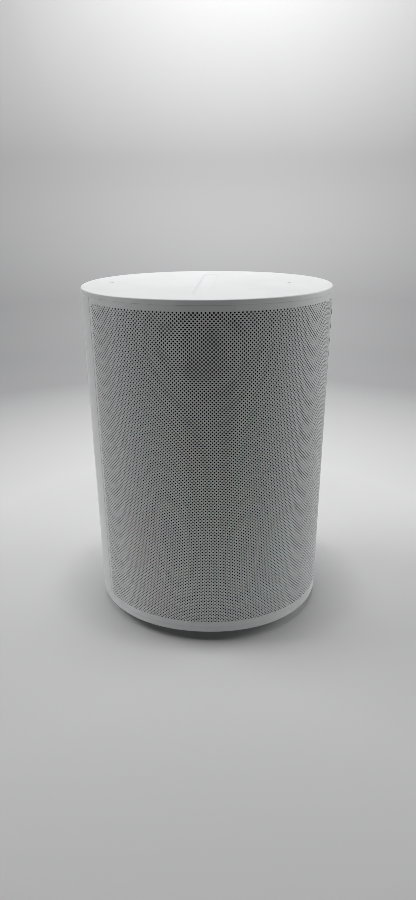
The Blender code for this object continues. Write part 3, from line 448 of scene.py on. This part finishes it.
MATERIALS = {
    "casing": moulded("casing_white", (0.80, 0.815, 0.815), 0.42, 1800.0, 0.000004),
    "sleeve": painted("sleeve_white", (0.79, 0.80, 0.80), 0.48),
    "control": moulded("control_white", (0.74, 0.75, 0.755), 0.34, 2400.0, 0.000012),
    "badge": moulded("badge_grey", (0.085, 0.087, 0.092), 0.40, 2600.0, 0.00001),
    # Painted shade: the plinth is made near black so that it deepens the contact shadow under the
    # body
    "plinth": moulded("plinth_grey", (0.060, 0.060, 0.063), 0.55, 1300.0, 0.00003),
    "rubber": moulded("foot_rubber", (0.035, 0.035, 0.037), 0.78, 1100.0, 0.00004),
    "inner": moulded("inner_plastic", (0.030, 0.030, 0.033), 0.50, 1500.0, 0.00003),
    "lead": moulded("lead_rubber", (0.028, 0.028, 0.030), 0.60, 1400.0, 0.00003),
    "surround": moulded("surround_rubber", (0.022, 0.022, 0.024), 0.66, 1700.0, 0.00002),
    "guide": moulded("light_guide", (0.52, 0.54, 0.55), 0.18, 2000.0, 0.000005, Coat_Weight=0.5),
    "foam": felted("seal_foam", (0.025, 0.025, 0.027), 1600.0, 0.0002),
    "ferrite": felted("ferrite", (0.060, 0.060, 0.064), 1900.0, 0.00005, 0.62),
    "paper": felted("cone_paper", (0.050, 0.050, 0.054), 1400.0, 0.00008),
    "board": circuit_board("circuit_board"),
    "steel": metal("bare_steel", (0.60, 0.60, 0.62), 0.32, (1, 1, 9)),
    "black_steel": metal("black_steel", (0.040, 0.040, 0.043), 0.42, metallic=0.4),
    "alloy": metal("heat_sink_metal", (0.70, 0.71, 0.73), 0.36, (12, 1, 1)),
    "can": metal("capacitor_can", (0.030, 0.034, 0.045), 0.35, (1, 1, 6), metallic=0.1),
    "brass": metal("pin_brass", (0.70, 0.56, 0.30), 0.28, (1, 8, 1)),
    "winding": wound("coil_winding", (0.72, 0.33, 0.14), 1500.0),
    "transformer": moulded("transformer_body", (0.52, 0.40, 0.10), 0.45, 700.0, 0.00003),
    "woven": cloth("woven_cloth", (0.42, 0.31, 0.15), 900.0, 0.0001),
    "silk": cloth("dome_silk", (0.045, 0.045, 0.050), 1700.0, 0.00004),
    "liner": cloth("acoustic_cloth", (0.006, 0.006, 0.007), 1100.0, 0.00006),
}

SCREWS = range(1, 5)  # the base has four screws, and so does the woofer
NODE_MATERIALS = {
    "plinth": ["base_plinth"],
    "rubber": ["foot_pad"],
    "steel": [
        *(f"base_screw_{i}" for i in SCREWS),
        "front_microphone",
        "rear_microphone",
        "usb_c_socket",
        "slide_switch_body",
        "processor_shield",
        "woofer_top_plate",
        "woofer_back_plate",
        "left_tweeter_magnet",
        "right_tweeter_magnet",
    ],
    "guide": ["front_light_pipe", "rear_light_pipe"],
    "board": ["touch_board", "power_supply_board", "io_board", "main_board", "antenna_board"],
    "inner": [
        "upper_frame",
        "lower_chassis",
        "power_inlet",
        "button_switch",
        "enclosure_front",
        "enclosure_rear",
        "tweeter_bridge",
        "left_tweeter_frame",
        "right_tweeter_frame",
    ],
    "transformer": ["transformer"],
    "can": ["bulk_capacitor"],
    "brass": ["inlet_pin_left", "inlet_pin_right"],
    "alloy": ["heat_sink"],
    "lead": ["supply_lead"],
    "foam": ["enclosure_seal", "woofer_gasket"],
    "black_steel": ["woofer_frame", *(f"woofer_screw_{i}" for i in SCREWS)],
    "surround": ["woofer_surround"],
    "paper": ["woofer_cone", "woofer_dust_cap"],
    "winding": ["woofer_voice_coil"],
    "woven": ["woofer_spider"],
    "ferrite": ["woofer_magnet"],
    "silk": ["left_tweeter_dome", "right_tweeter_dome"],
}


def colour_cad_nodes():
    """Gives every carried-over CAD node its own material, without touching its mesh."""
    for kind, names in NODE_MATERIALS.items():
        for name in names:
            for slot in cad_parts[name].material_slots:
                slot.link = "OBJECT"
                slot.material = MATERIALS[kind]


# ------------------------------------------------------------------ perforated sleeve
HOLE_STEP = 0.000915  # half the distance between holes of one row
FIRST_ROW_Z, LAST_ROW_Z = 0.0121, 0.1767
ROWS = 181
HOLE_RADIUS = 0.00046  # to the corners of an eight-sided hole
SHEET = 0.0004  # thickness of the perforated sheet
SIDE_MARGIN = 0.0016  # plain sheet at the rear edges
SLEEVE_PARTS = 9
WRAP_STEPS = 6000
LINER_STEPS, LINER_SOFT = 160, 0.0001
BADGE_DASHES = 5
BADGE_PITCH = 0.0073
BADGE_HALF_SPAN = (BADGE_DASHES - 1) / 2 * BADGE_PITCH
BADGE_MIDDLE_Z = 0.1531
DASH_HALF_WIDTH, DASH_HALF_HEIGHT = 0.0024, 0.0016
CARRIER, CARRIER_HALF_WIDTH = 0.0012, 1.4 * DASH_HALF_WIDTH  # thickness of the dashes' strip first
DASH_LAND = 0.0007  # plain sheet between a dash's slot and the middles of the next holes
# A dash's rounded face: how far in from its outline and how far back from its front, in EDGEs
DASH_FACE = ((0.0, 0.7), (0.12, 0.36), (0.4, 0.1), (0.8, 0.0))
WALL_SPREAD = 0.00012  # room that a hole's wall takes in the texture map
FLAT_GRID = 1e8  # grid lines to a metre: flat points that round to one crossing are equal
SLOT_SLACK = 0.00001  # how far into a slot the middle of a kept triangle may be
NEARLY_NOTHING = 1e-9


class Wrap:
    """The sleeve unrolled: how far round from the front a point is, and its height."""

    def __init__(self):
        edge = side_angle(PANEL_HALF_WIDTH + CLEARANCE)
        angles = np.linspace(-math.pi / 2, edge, WRAP_STEPS)
        points = oval_points(0.0, angles)
        steps = np.linalg.norm(np.diff(points, axis=0), axis=1)
        self.angles, self.run = angles, np.concatenate([[0], np.cumsum(steps)])
        self.reach = self.run[-1]

    def place(self, flat, inset):
        """Points in space for rows of (distance round, height)."""
        angle = np.interp(np.abs(flat[:, 0]), self.run, self.angles)
        points = oval_points(inset, angle)
        points[:, 0] *= np.where(flat[:, 0] < 0, -1, 1)
        return np.column_stack([points, flat[:, 1]])


class HoleGrid:
    """The unrolled sheet's rows and columns. Every other crossing of them has a hole."""

    def __init__(self, reach):
        columns = int((reach - SIDE_MARGIN) / HOLE_STEP) - 1
        self.columns = columns - (1 - columns % 2)  # odd, so that no corner of the grid is a hole
        self.reach = reach
        self.step = (reach - SIDE_MARGIN) / (self.columns + 1)
        self.rise = (LAST_ROW_Z - FIRST_ROW_Z) / (ROWS - 1)

    def at(self, i, j):
        """Flat points of column i, counted from the front, and row j."""
        return np.stack(np.broadcast_arrays(i * self.step, FIRST_ROW_Z + j * self.rise), axis=-1)


def dash_heights():
    """The middles of the badge's dashes, from the lowest up."""
    return [BADGE_MIDDLE_Z - BADGE_HALF_SPAN + i * BADGE_PITCH for i in range(BADGE_DASHES)]


def capsule_distance(flat, middle_z):
    """How far points are outside a dash's slot. Inside it, the distance is negative."""
    radius = DASH_HALF_HEIGHT + CLEARANCE
    straight = DASH_HALF_WIDTH - DASH_HALF_HEIGHT
    across = np.maximum(np.abs(flat[..., 0]) - straight, 0.0)
    return np.hypot(across, flat[..., 1] - middle_z) - radius


def perforated_cells(grid):
    """Every face of the unrolled sheet as a triangle of flat points."""
    return np.concatenate(hole_surrounds(grid) + edge_fans(grid) + plain_borders(grid))


def hole_surrounds(grid):
    """The diamond of sheet round each eight-sided hole, and the plain sheet round the dashes."""
    all_columns = np.arange(-grid.columns, grid.columns + 1)
    across, up = np.meshgrid(all_columns, np.arange(ROWS), indexing="ij")
    is_hole = (across + up) % 2 == 0
    across, up = across[is_hole], up[is_hole]
    middle = grid.at(across, up)
    clear = np.min([capsule_distance(middle, z) for z in dash_heights()], axis=0) > DASH_LAND
    neighbours = ((across + 1, up), (across, up + 1), (across - 1, up), (across, up - 1))
    corners = [grid.at(i, j) for i, j in neighbours]
    turn = np.arange(8) * math.pi / 4
    ring = [middle + HOLE_RADIUS * np.array([math.cos(a), math.sin(a)]) for a in turn]
    triangles = []
    for k in range(4):
        here, after = corners[k], corners[(k + 1) % 4]
        first, half, last = ring[2 * k], ring[2 * k + 1], ring[(2 * k + 2) % 8]
        for corner_set in ((here, after, half), (here, half, first), (after, last, half)):
            triangles.append(np.stack(corner_set, axis=1)[clear])
    return triangles + dash_surrounds([corner[~clear] for corner in corners])


def edge_fans(grid):
    """The half diamonds that fill the zigzag round the holes up to straight edges."""
    i, j = np.arange(-grid.columns - 1, grid.columns, 2), np.arange(-1, ROWS, 2)
    top, bottom, at = ROWS, -1, grid.at
    fans = [
        [at(i, bottom), at(i + 2, bottom), at(i + 1, 0)],
        [at(i + 2, top), at(i, top), at(i + 1, top - 1)],
    ]
    for side in (-1, 1):
        last = side * (grid.columns + 1)
        fan = [at(last, j), at(last, j + 2), at(last - side, j + 1)]
        fans.append(fan if side > 0 else fan[::-1])
    return [np.stack(fan, 1) for fan in fans]


def plain_borders(grid):
    """The plain strips along the sheet's top, bottom and both rear edges."""
    along = grid.at(np.arange(-grid.columns - 1, grid.columns + 2, 2), 0)[:, 0]
    along = np.concatenate([[-grid.reach], along, [grid.reach]])
    up = grid.at(0, np.arange(-1, ROWS + 1, 2))[:, 1]
    triangles = strip(along, SHEET_LOW, up[0]) + strip(along, up[-1], SHEET_HIGH)
    for low, high in ((-grid.reach, along[1]), (along[-2], grid.reach)):
        triangles += [upright[:, ::-1, ::-1] for upright in strip(up, low, high)]
    return triangles


def strip(along, low, high):
    """Two triangles for each step of a plain strip. Flat points are (along, across)."""
    start, end = along[:-1], along[1:]

    def at(run, across):
        return np.stack(np.broadcast_arrays(run, across), axis=-1)

    return [
        np.stack([at(start, low), at(end, low), at(end, high)], 1),
        np.stack([at(start, low), at(end, high), at(start, high)], 1),
    ]


def shared_points(triangles):
    """The different points of flat triangles, and each triangle as rows of that list."""
    crossing = np.round(triangles * FLAT_GRID).astype(np.int64)
    key = crossing[..., 0] * (1 << 31) + crossing[..., 1]
    _, where, index = np.unique(key.ravel(), return_index=True, return_inverse=True)
    return triangles.reshape(-1, 2)[where], index.reshape(-1, 3)


def open_edges(triangles):
    """The edges that only one triangle has, as pairs of rows of its corners."""
    first = triangles.ravel()
    second = np.roll(triangles, -1, axis=1).ravel()
    both = np.minimum(first, second) * (triangles.max() + 1) + np.maximum(first, second)
    _, where, count = np.unique(both, return_index=True, return_counts=True)
    single = where[count == 1]
    return first[single], second[single]


def dash_surrounds(corners):
    """The plain sheet round each dash, between its slot and the nearest holes."""
    made = []
    cells = np.stack(corners, axis=1)
    for middle_z in dash_heights():
        near = np.abs(cells[:, :, 1].mean(axis=1) - middle_z) < BADGE_PITCH / 2
        mine = cells[near]
        halves = np.concatenate([mine[:, [0, 1, 2]], mine[:, [0, 2, 3]]])
        points, found = shared_points(halves)
        start, end = open_edges(found)
        half_width, half_height = DASH_HALF_WIDTH + CLEARANCE, DASH_HALF_HEIGHT + CLEARANCE
        slot_points = capsule(half_width, half_height, (0.0, middle_z), corner_steps=6)
        vertices = [Vector(p) for p in points] + [Vector(p) for p in slot_points]
        base, size = len(points), len(slot_points)
        edges = [(int(a), int(b)) for a, b in zip(start, end)]
        edges += [(base + k, base + (k + 1) % size) for k in range(size)]
        filled = delaunay_2d_cdt(vertices, edges, [], 1, NEARLY_NOTHING)
        flat = np.array([tuple(v) for v in filled[0]])
        faces = np.array([f for f in filled[2] if len(f) == 3])
        triangles = flat[faces]
        kept = capsule_distance(triangles.mean(axis=1), middle_z) > -SLOT_SLACK
        triangles = triangles[kept]
        side_a, side_b = triangles[:, 1] - triangles[:, 0], triangles[:, 2] - triangles[:, 0]
        turned = side_a[:, 0] * side_b[:, 1] < side_a[:, 1] * side_b[:, 0]
        triangles[turned] = triangles[turned][:, ::-1]
        made.append(triangles)
    return made


def build_sleeve():
    """The perforated sheet, in upright parts that meet edge to edge."""
    wrap = Wrap()
    cells = perforated_cells(HoleGrid(wrap.reach))
    part = (cells[:, :, 0].mean(axis=1) + wrap.reach) / (2 * wrap.reach) * SLEEVE_PARTS
    part = np.clip(part.astype(int), 0, SLEEVE_PARTS - 1)
    for k in range(SLEEVE_PARTS):
        build_sleeve_part(f"grille_sleeve_{k + 1}", wrap, cells[part == k])


def build_sleeve_part(name, wrap, cells):
    """One upright part of the sleeve: outer face, inner face and the walls between."""
    flat, outer = shared_points(cells)
    count = len(flat)
    start, end = open_edges(outer)
    points = np.vstack([wrap.place(flat, 0.0), wrap.place(flat, SHEET)])
    inner = outer[:, ::-1] + count
    walls = ([end, start, start + count], [end, start + count, end + count])
    walls = [np.stack(wall, 1) for wall in walls]
    triangles = np.vstack([outer, inner, *walls]).astype(np.int32)

    mesh = bpy.data.meshes.new(name)
    mesh.vertices.add(len(points))
    mesh.vertices.foreach_set("co", points.astype(np.float32).ravel())
    mesh.loops.add(triangles.size)
    mesh.loops.foreach_set("vertex_index", triangles.ravel())
    mesh.polygons.add(len(triangles))
    mesh.polygons.foreach_set("loop_start", np.arange(0, triangles.size, 3, dtype=np.int32))
    mesh.update(calc_edges=True)
    mesh.validate()
    map_sleeve(mesh, flat, outer, start, end)
    piece = add_object(name, mesh)
    finish_piece(piece, MATERIALS["sleeve"], "housing", ["grille_sleeve"], 50)
    piece.modifiers.clear()


def map_sleeve(mesh, flat, outer, start, end):
    """Lays the sheet's texture map out flat, with each wall just inside its own hole."""
    low, high = flat.min(axis=0), flat.max(axis=0)
    margin = 2 * WALL_SPREAD
    size = high - low + 2 * margin

    def in_map(points, column):
        share = (points - low + margin) / size
        return np.stack([(share[..., 0] + column) / 2, share[..., 1]], axis=-1)

    run = flat[end] - flat[start]
    away = np.stack([run[:, 1], -run[:, 0]], axis=-1)
    length = np.linalg.norm(away, axis=1, keepdims=True)
    away *= WALL_SPREAD / np.maximum(length, NEARLY_NOTHING)
    a, b = flat[start], flat[end]
    pieces = [
        in_map(flat[outer], 0),
        in_map(flat[outer[:, ::-1]], 1),
        in_map(np.stack([b, a, a + away], 1), 0),
        in_map(np.stack([b, a + away, b + away], 1), 0),
    ]
    layer = mesh.uv_layers.new(name="OFBake")
    layer.data.foreach_set("uv", np.vstack(pieces).astype(np.float32).ravel())


def build_liner():
    """The dark acoustic cloth behind the perforated sheet."""
    edge = side_angle(PANEL_HALF_WIDTH + 2 * CLEARANCE)
    span = (math.pi - edge, 2 * math.pi + edge)
    levels = (SLEEVE_LOW + CLEARANCE, SLEEVE_HIGH - CLEARANCE)
    front = SHEET + CLEARANCE / 2
    liner = curved_wall("grille_cloth", *span, front, SKIN, *levels, LINER_STEPS, LINER_SOFT)
    finish_piece(liner, MATERIALS["liner"], "housing", ["grille_sleeve"])


def build_badge():
    """Five plain raised dashes on a strip behind the sleeve."""
    carrier_front = -(HALF_DEPTH - SKIN - 2 * CLEARANCE)
    reach = BADGE_HALF_SPAN + 2 * DASH_HALF_HEIGHT
    middle = (0.0, BADGE_MIDDLE_Z)
    carrier = rounded_rectangle(CARRIER_HALF_WIDTH, reach, DASH_HALF_HEIGHT, 4, middle)
    badge = prism_back("badge_dashes", carrier, carrier_front, carrier_front + CARRIER)
    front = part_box("front_badge")[0].y
    stations = [(0.0, carrier_front + CARRIER / 2)]
    stations += [(EDGE * inset, front + EDGE * back) for inset, back in DASH_FACE]
    dashes = []
    for i, z in enumerate(dash_heights()):
        loops = []
        for inset, y in stations:
            outline = capsule(DASH_HALF_WIDTH - inset, DASH_HALF_HEIGHT - inset, (0.0, z), 8)
            loops.append([(x, y, height) for x, height in outline])
        dashes.append(loft(f"dash_{i}", loops))
    join(badge, *dashes)
    tidy_mesh(badge)
    finish_piece(badge, MATERIALS["badge"], "housing", ["front_badge"], 50)


# ------------------------------------------------------------------ top and bottom covers
TROUGH_HALF_WIDTH, TROUGH_HALF_LENGTH = 0.0048, 0.0430
TROUGH_DEPTH = 0.0006
TROUGH_SLOPE = 0.0018  # width of the trough's soft edge
TROUGH_STEPS = 10
LIGHT_BORE, SCREW_BORE = 0.0011, 0.0019  # radii
PARTING_SOFT = 0.00015  # softened edges on both sides of a parting line


def bore(node, radius, low, high):
    """An upright tool that bores a cover where a node goes through it."""
    near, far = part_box(node)
    middle = ((near.x + far.x) / 2, (near.y + far.y) / 2)
    return prism_up(node + "_bore", circle(radius, middle), low - EDGE, high + EDGE)


def build_top_cover():
    """The touch surface: a thin rounded rim, and a shallow soft-edged trough."""
    levels = [
        (LIP_IN, CAP_LOW),
        (LIP_IN, CAP_LOW - LIP_HEIGHT),
        (LIP_OUT, CAP_LOW - LIP_HEIGHT),
        (LIP_OUT, CAP_LOW),
        (PARTING_SOFT, CAP_LOW),
        (0.0, CAP_LOW + PARTING_SOFT),
        *rounding(RIM_ROUND, HEIGHT - RIM_ROUND, RIM_ROUND, 0, 90),
    ]
    stations = oval_loops(levels)
    for k in range(TROUGH_STEPS + 1):
        share = k / TROUGH_STEPS
        inset = TROUGH_SLOPE * share
        depth = TROUGH_DEPTH * share * share * (3 - 2 * share)
        loop = even_capsule(TROUGH_HALF_LENGTH - inset, TROUGH_HALF_WIDTH - inset, OUTLINE_STEPS)
        stations.append([(x, y, HEIGHT - depth) for x, y in loop])
    cover = loft("top_cover_shell", stations)
    pipes = ("front_light_pipe", "rear_light_pipe")
    cut(cover, *(bore(pipe, LIGHT_BORE, CAP_LOW, HEIGHT) for pipe in pipes))
    finish_piece(cover, MATERIALS["casing"], "housing", ["top_cover"])


def build_bottom_cover():
    """The band under the sleeve, with its lip and the bores for the base screws."""
    levels = [
        *rounding(RIM_ROUND, RIM_LOW + RIM_ROUND, RIM_ROUND, -90, 0),
        (0.0, RIM_HIGH - PARTING_SOFT),
        (PARTING_SOFT, RIM_HIGH),
        (LIP_OUT, RIM_HIGH),
        (LIP_OUT, RIM_HIGH + LIP_HEIGHT),
        (LIP_IN, RIM_HIGH + LIP_HEIGHT),
        (LIP_IN, RIM_HIGH),
    ]
    cover = loft("bottom_cover_shell", oval_loops(levels))
    cut(cover, *(bore(f"base_screw_{i}", SCREW_BORE, RIM_LOW, RIM_HIGH) for i in SCREWS))
    finish_piece(cover, MATERIALS["casing"], "housing", ["bottom_cover"])


# ------------------------------------------------------------------ rear panel and its controls
RECESS_FLOOR_Y = 0.0576
RECESS_WALL = 0.0018
RECESS_HALF_WIDTH = 0.0170
RECESS_LOW, RECESS_HIGH = 0.0155, 0.0780
RECESS_CORNER = 0.0030
PANEL_STEPS, ARCH_STEPS = 64, 20
INLET_Z, USB_Z, SLIDER_Z, BUTTON_Z = 0.0247, 0.0460, 0.0565, 0.0690
SLIDER_TRAVEL = 0.0030
BUTTON_RADIUS = 0.0040
STEM_RADIUS, STEM_LENGTH = 0.0015, 0.0012
FLANGE_OUT = 0.0010  # how far the button's flange stands out
FLANGE = 0.0011  # thickness of the button's flange and the switch's plate
# The button's dished face: radius and depth below its top, from the rim to the middle
BUTTON_FACE = (
    (BUTTON_RADIUS, EDGE),
    (BUTTON_RADIUS - 0.00015, 0.00017),
    (BUTTON_RADIUS - EDGE, 0.0),
    (BUTTON_RADIUS - 2 * EDGE, 0.00003),
    (BUTTON_RADIUS * 0.5, 0.00028),
    (0.0, 0.00035),
)
KNOB_HALF_WIDTH, KNOB_HALF_HEIGHT = 0.0020, 0.0013
GROOVE_PITCH, GROOVE_HALF_WIDTH, GROOVE_DEPTH = 0.0010, 0.0002, 0.0003  # grip of the switch
PANEL_SOFT, SWITCH_SOFT = 0.00022, 0.00008  # bevelled edges


def build_rear_panel():
    """The plain panel behind, with the recess that holds the controls and both sockets."""
    edge = side_angle(PANEL_HALF_WIDTH)
    span, levels = (edge, math.pi - edge), (SHEET_LOW, SHEET_HIGH)
    panel = curved_wall("rear_panel_shell", *span, 0.0, SKIN, *levels, PANEL_STEPS, PARTING_SOFT)
    half = RECESS_HALF_WIDTH + RECESS_WALL
    inner_y = RECESS_FLOOR_Y - RECESS_WALL
    across = [half * (1 - 2 * i / ARCH_STEPS) for i in range(ARCH_STEPS + 1)]
    arch = [(x, oval_half_depth(SKIN / 3, x)) for x in across]
    tub_low, tub_high = RECESS_LOW - RECESS_WALL, RECESS_HIGH + RECESS_WALL
    tub = prism_up("recess_tub", [(-half, inner_y), (half, inner_y)] + arch, tub_low, tub_high)
    join(panel, tub)
    middle, half_height = (0.0, (RECESS_LOW + RECESS_HIGH) / 2), (RECESS_HIGH - RECESS_LOW) / 2
    hollow = rounded_rectangle(RECESS_HALF_WIDTH, half_height, RECESS_CORNER, 10, middle)
    tools = [prism_back("recess_hollow", hollow, RECESS_FLOOR_Y, HALF_DEPTH + SKIN)]
    usb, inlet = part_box("usb_c_socket")[1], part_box("power_inlet")[1]
    slot_half = KNOB_HALF_WIDTH + SLIDER_TRAVEL / 2 + CLEARANCE
    openings = [
        circle(BUTTON_RADIUS + CLEARANCE, (0.0, BUTTON_Z), 48),
        rounded_rectangle(slot_half, KNOB_HALF_HEIGHT + CLEARANCE, EDGE, 4, (0.0, SLIDER_Z)),
        capsule(usb.x + CLEARANCE, usb.z - USB_Z + CLEARANCE, (0.0, USB_Z)),
        rounded_rectangle(
            inlet.x + CLEARANCE, inlet.z - INLET_Z + CLEARANCE, 2 * EDGE, 4, (0.0, INLET_Z)
        ),
    ]
    for i, outline in enumerate(openings):
        tools.append(prism_back(f"opening_{i}", outline, inner_y - EDGE, RECESS_FLOOR_Y + EDGE))
    cut(panel, *tools)
    tidy_mesh(panel)
    soften(panel, PANEL_SOFT)
    finish_piece(panel, MATERIALS["casing"], "housing", ["rear_panel"])


def build_controls():
    """The sprung push button with a dished cap, and the two-way slide switch."""
    low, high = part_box("pairing_button")
    flange = low.y + STEM_LENGTH
    profile = [
        (0.0, low.y),
        (STEM_RADIUS, low.y),
        (STEM_RADIUS, flange),
        (BUTTON_RADIUS + FLANGE_OUT, flange),
        (BUTTON_RADIUS + FLANGE_OUT, flange + FLANGE),
        (BUTTON_RADIUS, flange + FLANGE),
        *((radius, high.y - depth) for radius, depth in BUTTON_FACE),
    ]
    button = turned_back("pairing_button_cap", profile, (0.0, BUTTON_Z), 64)
    finish_piece(button, MATERIALS["control"], "button", ["pairing_button"])

    low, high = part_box("mic_switch")
    middle = ((low.x + high.x) / 2, SLIDER_Z)
    plate_rear = low.y + FLANGE
    switch = block("mic_switch_knob", low, (high.x, plate_rear, high.z))
    outline = rounded_rectangle(KNOB_HALF_WIDTH, KNOB_HALF_HEIGHT, EDGE, 5, middle)
    join(switch, prism_back("knob", outline, plate_rear - EDGE, high.y))
    grooves = []
    for i in (-1, 0, 1):
        x = middle[0] + i * GROOVE_PITCH
        start = (x - GROOVE_HALF_WIDTH, high.y - GROOVE_DEPTH, SLIDER_Z - 2 * KNOB_HALF_HEIGHT)
        end = (x + GROOVE_HALF_WIDTH, high.y + EDGE, SLIDER_Z + 2 * KNOB_HALF_HEIGHT)
        grooves.append(block(f"groove_{i + 1}", start, end))
    cut(switch, *grooves)
    tidy_mesh(switch)
    soften(switch, SWITCH_SOFT)
    finish_piece(switch, MATERIALS["control"], "slider", ["mic_switch"])


# ------------------------------------------------------------------ camera, stage and light
CAMERA_PLACE = Vector((-0.3306, -0.0220, 0.2217))
CAMERA_AHEAD = Vector((0.9978, 0.0666, 0.0))
CAMERA_PITCH, CAMERA_ROLL = math.radians(22.03), math.radians(-0.47)
CAMERA_LENS = 24.48
SENSOR = 36.0
CLIP_NEAR, CLIP_FAR = 0.01, 20.0
FLOOR_RADIUS, FLOOR_MIDDLE = 0.42, 0.02
SWEEP_RADIUS, SWEEP_STEPS = 0.30, 12
WALL_DISTANCE, WALL_HEIGHT = 0.95, 1.3
STAGE_STEPS = 128
PAPER_NEAR = (0.615, 0.615, 0.62)
# Painted shade and painted light on the stage paper: darker away from the axis behind the object,
# paler up the wall
PAINTED_SHADE_BEHIND, BEHIND_START, BEHIND_END = (0.285, 0.285, 0.29), 0.20, 0.49  # from the axis
PAINTED_LIGHT_ABOVE, ABOVE_START, ABOVE_END = (0.84, 0.84, 0.845), 0.06, 0.55  # up from the floor
SOFT_BOXES = {  # place, aim, size, and power in watts
    "overhead": ((-0.01, 0.0, 1.50), (-0.01, 0.0, 0.0), (0.10, 0.36), 7.2),
    "wash": ((0.45, 0.0, 1.20), (0.90, 0.0, 0.0), (0.30, 1.00), 4.2),
    "left_box": ((0.07, 0.58, 0.60), (0.0, 0.0, 0.10), (0.36, 0.36), 2.45),
    "right_box": ((0.14, -0.58, 0.28), (0.0, 0.0, 0.10), (0.36, 0.36), 1.45),
}
WASH_SPREAD = math.radians(80)
GLOWS = {  # weak light up through the floor: which side it is on, and watts
    "front_glow": ((0, -1), 1.05),
    "rear_glow": ((0, 1), 1.10),
    "near_glow": ((-1, 0), 0.34),
}
GLOW_MIDDLE, GLOW_REACH, GLOW_SPAN, GLOW_Z = 0.285, 0.44, 0.80, -0.004
WORLD_COLOUR = (0.75, 0.77, 0.80, 1.0)
PIXEL_FILTER = 0.7  # narrow, so that the holes stay as crisp as a camera shows them


def build_camera():
    """Looks down at the side of the speaker, with a slight roll."""
    data = bpy.data.cameras.new("camera")
    data.lens, data.sensor_width = CAMERA_LENS, SENSOR
    data.clip_start, data.clip_end = CLIP_NEAR, CLIP_FAR
    camera = add_object("camera", data)
    level = CAMERA_AHEAD.normalized()
    ahead = level * math.cos(CAMERA_PITCH) - Vector((0, 0, 1)) * math.sin(CAMERA_PITCH)
    right = ahead.cross(Vector((0, 0, 1))).normalized()
    up = right.cross(ahead)
    tipped = right * math.cos(CAMERA_ROLL) + up * math.sin(CAMERA_ROLL)
    raised = tipped.cross(ahead)
    turn = Matrix((tipped, raised, -ahead)).transposed()
    camera.matrix_world = Matrix.Translation(CAMERA_PLACE) @ turn.to_4x4()
    bpy.context.scene.camera = camera


def revolve(name, profile, material):
    """A surface of revolution round Z from (radius, height) points."""
    vertices, faces, steps = [], [], STAGE_STEPS
    for r, z in profile:
        for i in range(steps):
            angle = 2 * math.pi * i / steps
            vertices.append((r * math.cos(angle), r * math.sin(angle), z))
    for k in range(len(profile) - 1):
        for i in range(steps):
            j = (i + 1) % steps
            faces.append((k * steps + i, k * steps + j, (k + 1) * steps + j, (k + 1) * steps + i))
    if profile[0][0] == FLOOR_MIDDLE:
        faces.append(tuple(range(steps)))
    mesh = bpy.data.meshes.new(name)
    mesh.from_pydata(vertices, [], faces)
    mesh.shade_smooth()
    mesh.materials.append(material)
    surface = add_object(name, mesh)
    return surface


def build_stage():
    """A paper floor that sweeps up into a bowl, with painted shade darkening it behind the object
    and painted light making it paler above.
    """
    paper = Surface("stage_paper", PAPER_NEAR, 0.9)
    away = paper.node("VectorMath", {"Vector": paper.stretched((1, 1, 0))})
    away.operation = "LENGTH"
    # Painted shade: the paper darkens with distance from the axis
    paper.tint(away.outputs["Value"], PAINTED_SHADE_BEHIND, BEHIND_START, BEHIND_END)
    height = paper.node("SeparateXYZ", {"Vector": paper.place}).outputs["Z"]
    # Painted light: the paper turns paler with height up the wall
    paper.tint(height, PAINTED_LIGHT_ABOVE, ABOVE_START, ABOVE_END)
    floor = revolve("floor", [(FLOOR_MIDDLE, 0.0), (FLOOR_RADIUS, 0.0)], paper.material)
    floor.visible_shadow = False  # lets the light from below through
    sweep = [(FLOOR_RADIUS, 0.0), (WALL_DISTANCE - SWEEP_RADIUS, 0.0)]
    for i in range(1, SWEEP_STEPS + 1):
        angle = math.pi / 2 * i / SWEEP_STEPS
        r = WALL_DISTANCE - SWEEP_RADIUS + SWEEP_RADIUS * math.sin(angle)
        sweep.append((r, SWEEP_RADIUS * (1 - math.cos(angle))))
    sweep.append((WALL_DISTANCE, WALL_HEIGHT))
    backdrop = revolve("backdrop", sweep, paper.material)
    backdrop.visible_diffuse = backdrop.visible_shadow = False


def area_light(name, place, aim, size, power):
    """A soft box, or a glow, that the camera doesn't see."""
    data = bpy.data.lights.new(name, "AREA")
    data.shape = "RECTANGLE"
    data.size, data.size_y = size
    data.energy = power
    light = add_object(name, data)
    light.location = place
    light.rotation_mode = "QUATERNION"
    light.rotation_quaternion = (Vector(place) - Vector(aim)).to_track_quat("Z", "Y")
    light.visible_camera = False


def build_light():
    """A small light overhead, a wash over the backdrop, side boxes, and weak light from below."""
    for name, (place, aim, size, power) in SOFT_BOXES.items():
        area_light(name, place, aim, size, power)
    bpy.data.lights["wash"].spread = WASH_SPREAD
    for name, (side, power) in GLOWS.items():
        place = (GLOW_MIDDLE * side[0], GLOW_MIDDLE * side[1], GLOW_Z)
        reach = (GLOW_REACH, GLOW_SPAN) if side[0] else (GLOW_SPAN, GLOW_REACH)
        area_light(name, place, (place[0], place[1], 1.0), reach, power)


def build_world():
    """A pale world that shows in reflections and lights nothing else."""
    world = bpy.data.worlds.new("world")
    bpy.context.scene.world = world
    world.use_nodes = True
    background = world.node_tree.nodes["Background"]
    background.inputs["Color"].default_value = WORLD_COLOUR
    world.cycles_visibility.diffuse = False
    world.cycles.sampling_method = "NONE"


def set_picture():
    """Standard colours, and a denoiser and pixel filter that keep the small holes."""
    scene = bpy.context.scene
    scene.view_settings.view_transform = "Standard"
    scene.cycles.use_denoising = True
    scene.cycles.denoising_prefilter = "NONE"
    scene.cycles.filter_width = PIXEL_FILTER


build_camera()
build_stage()
build_light()
build_world()
set_picture()
colour_cad_nodes()
build_sleeve()
build_liner()
build_badge()
build_top_cover()
build_bottom_cover()
build_rear_panel()
build_controls()
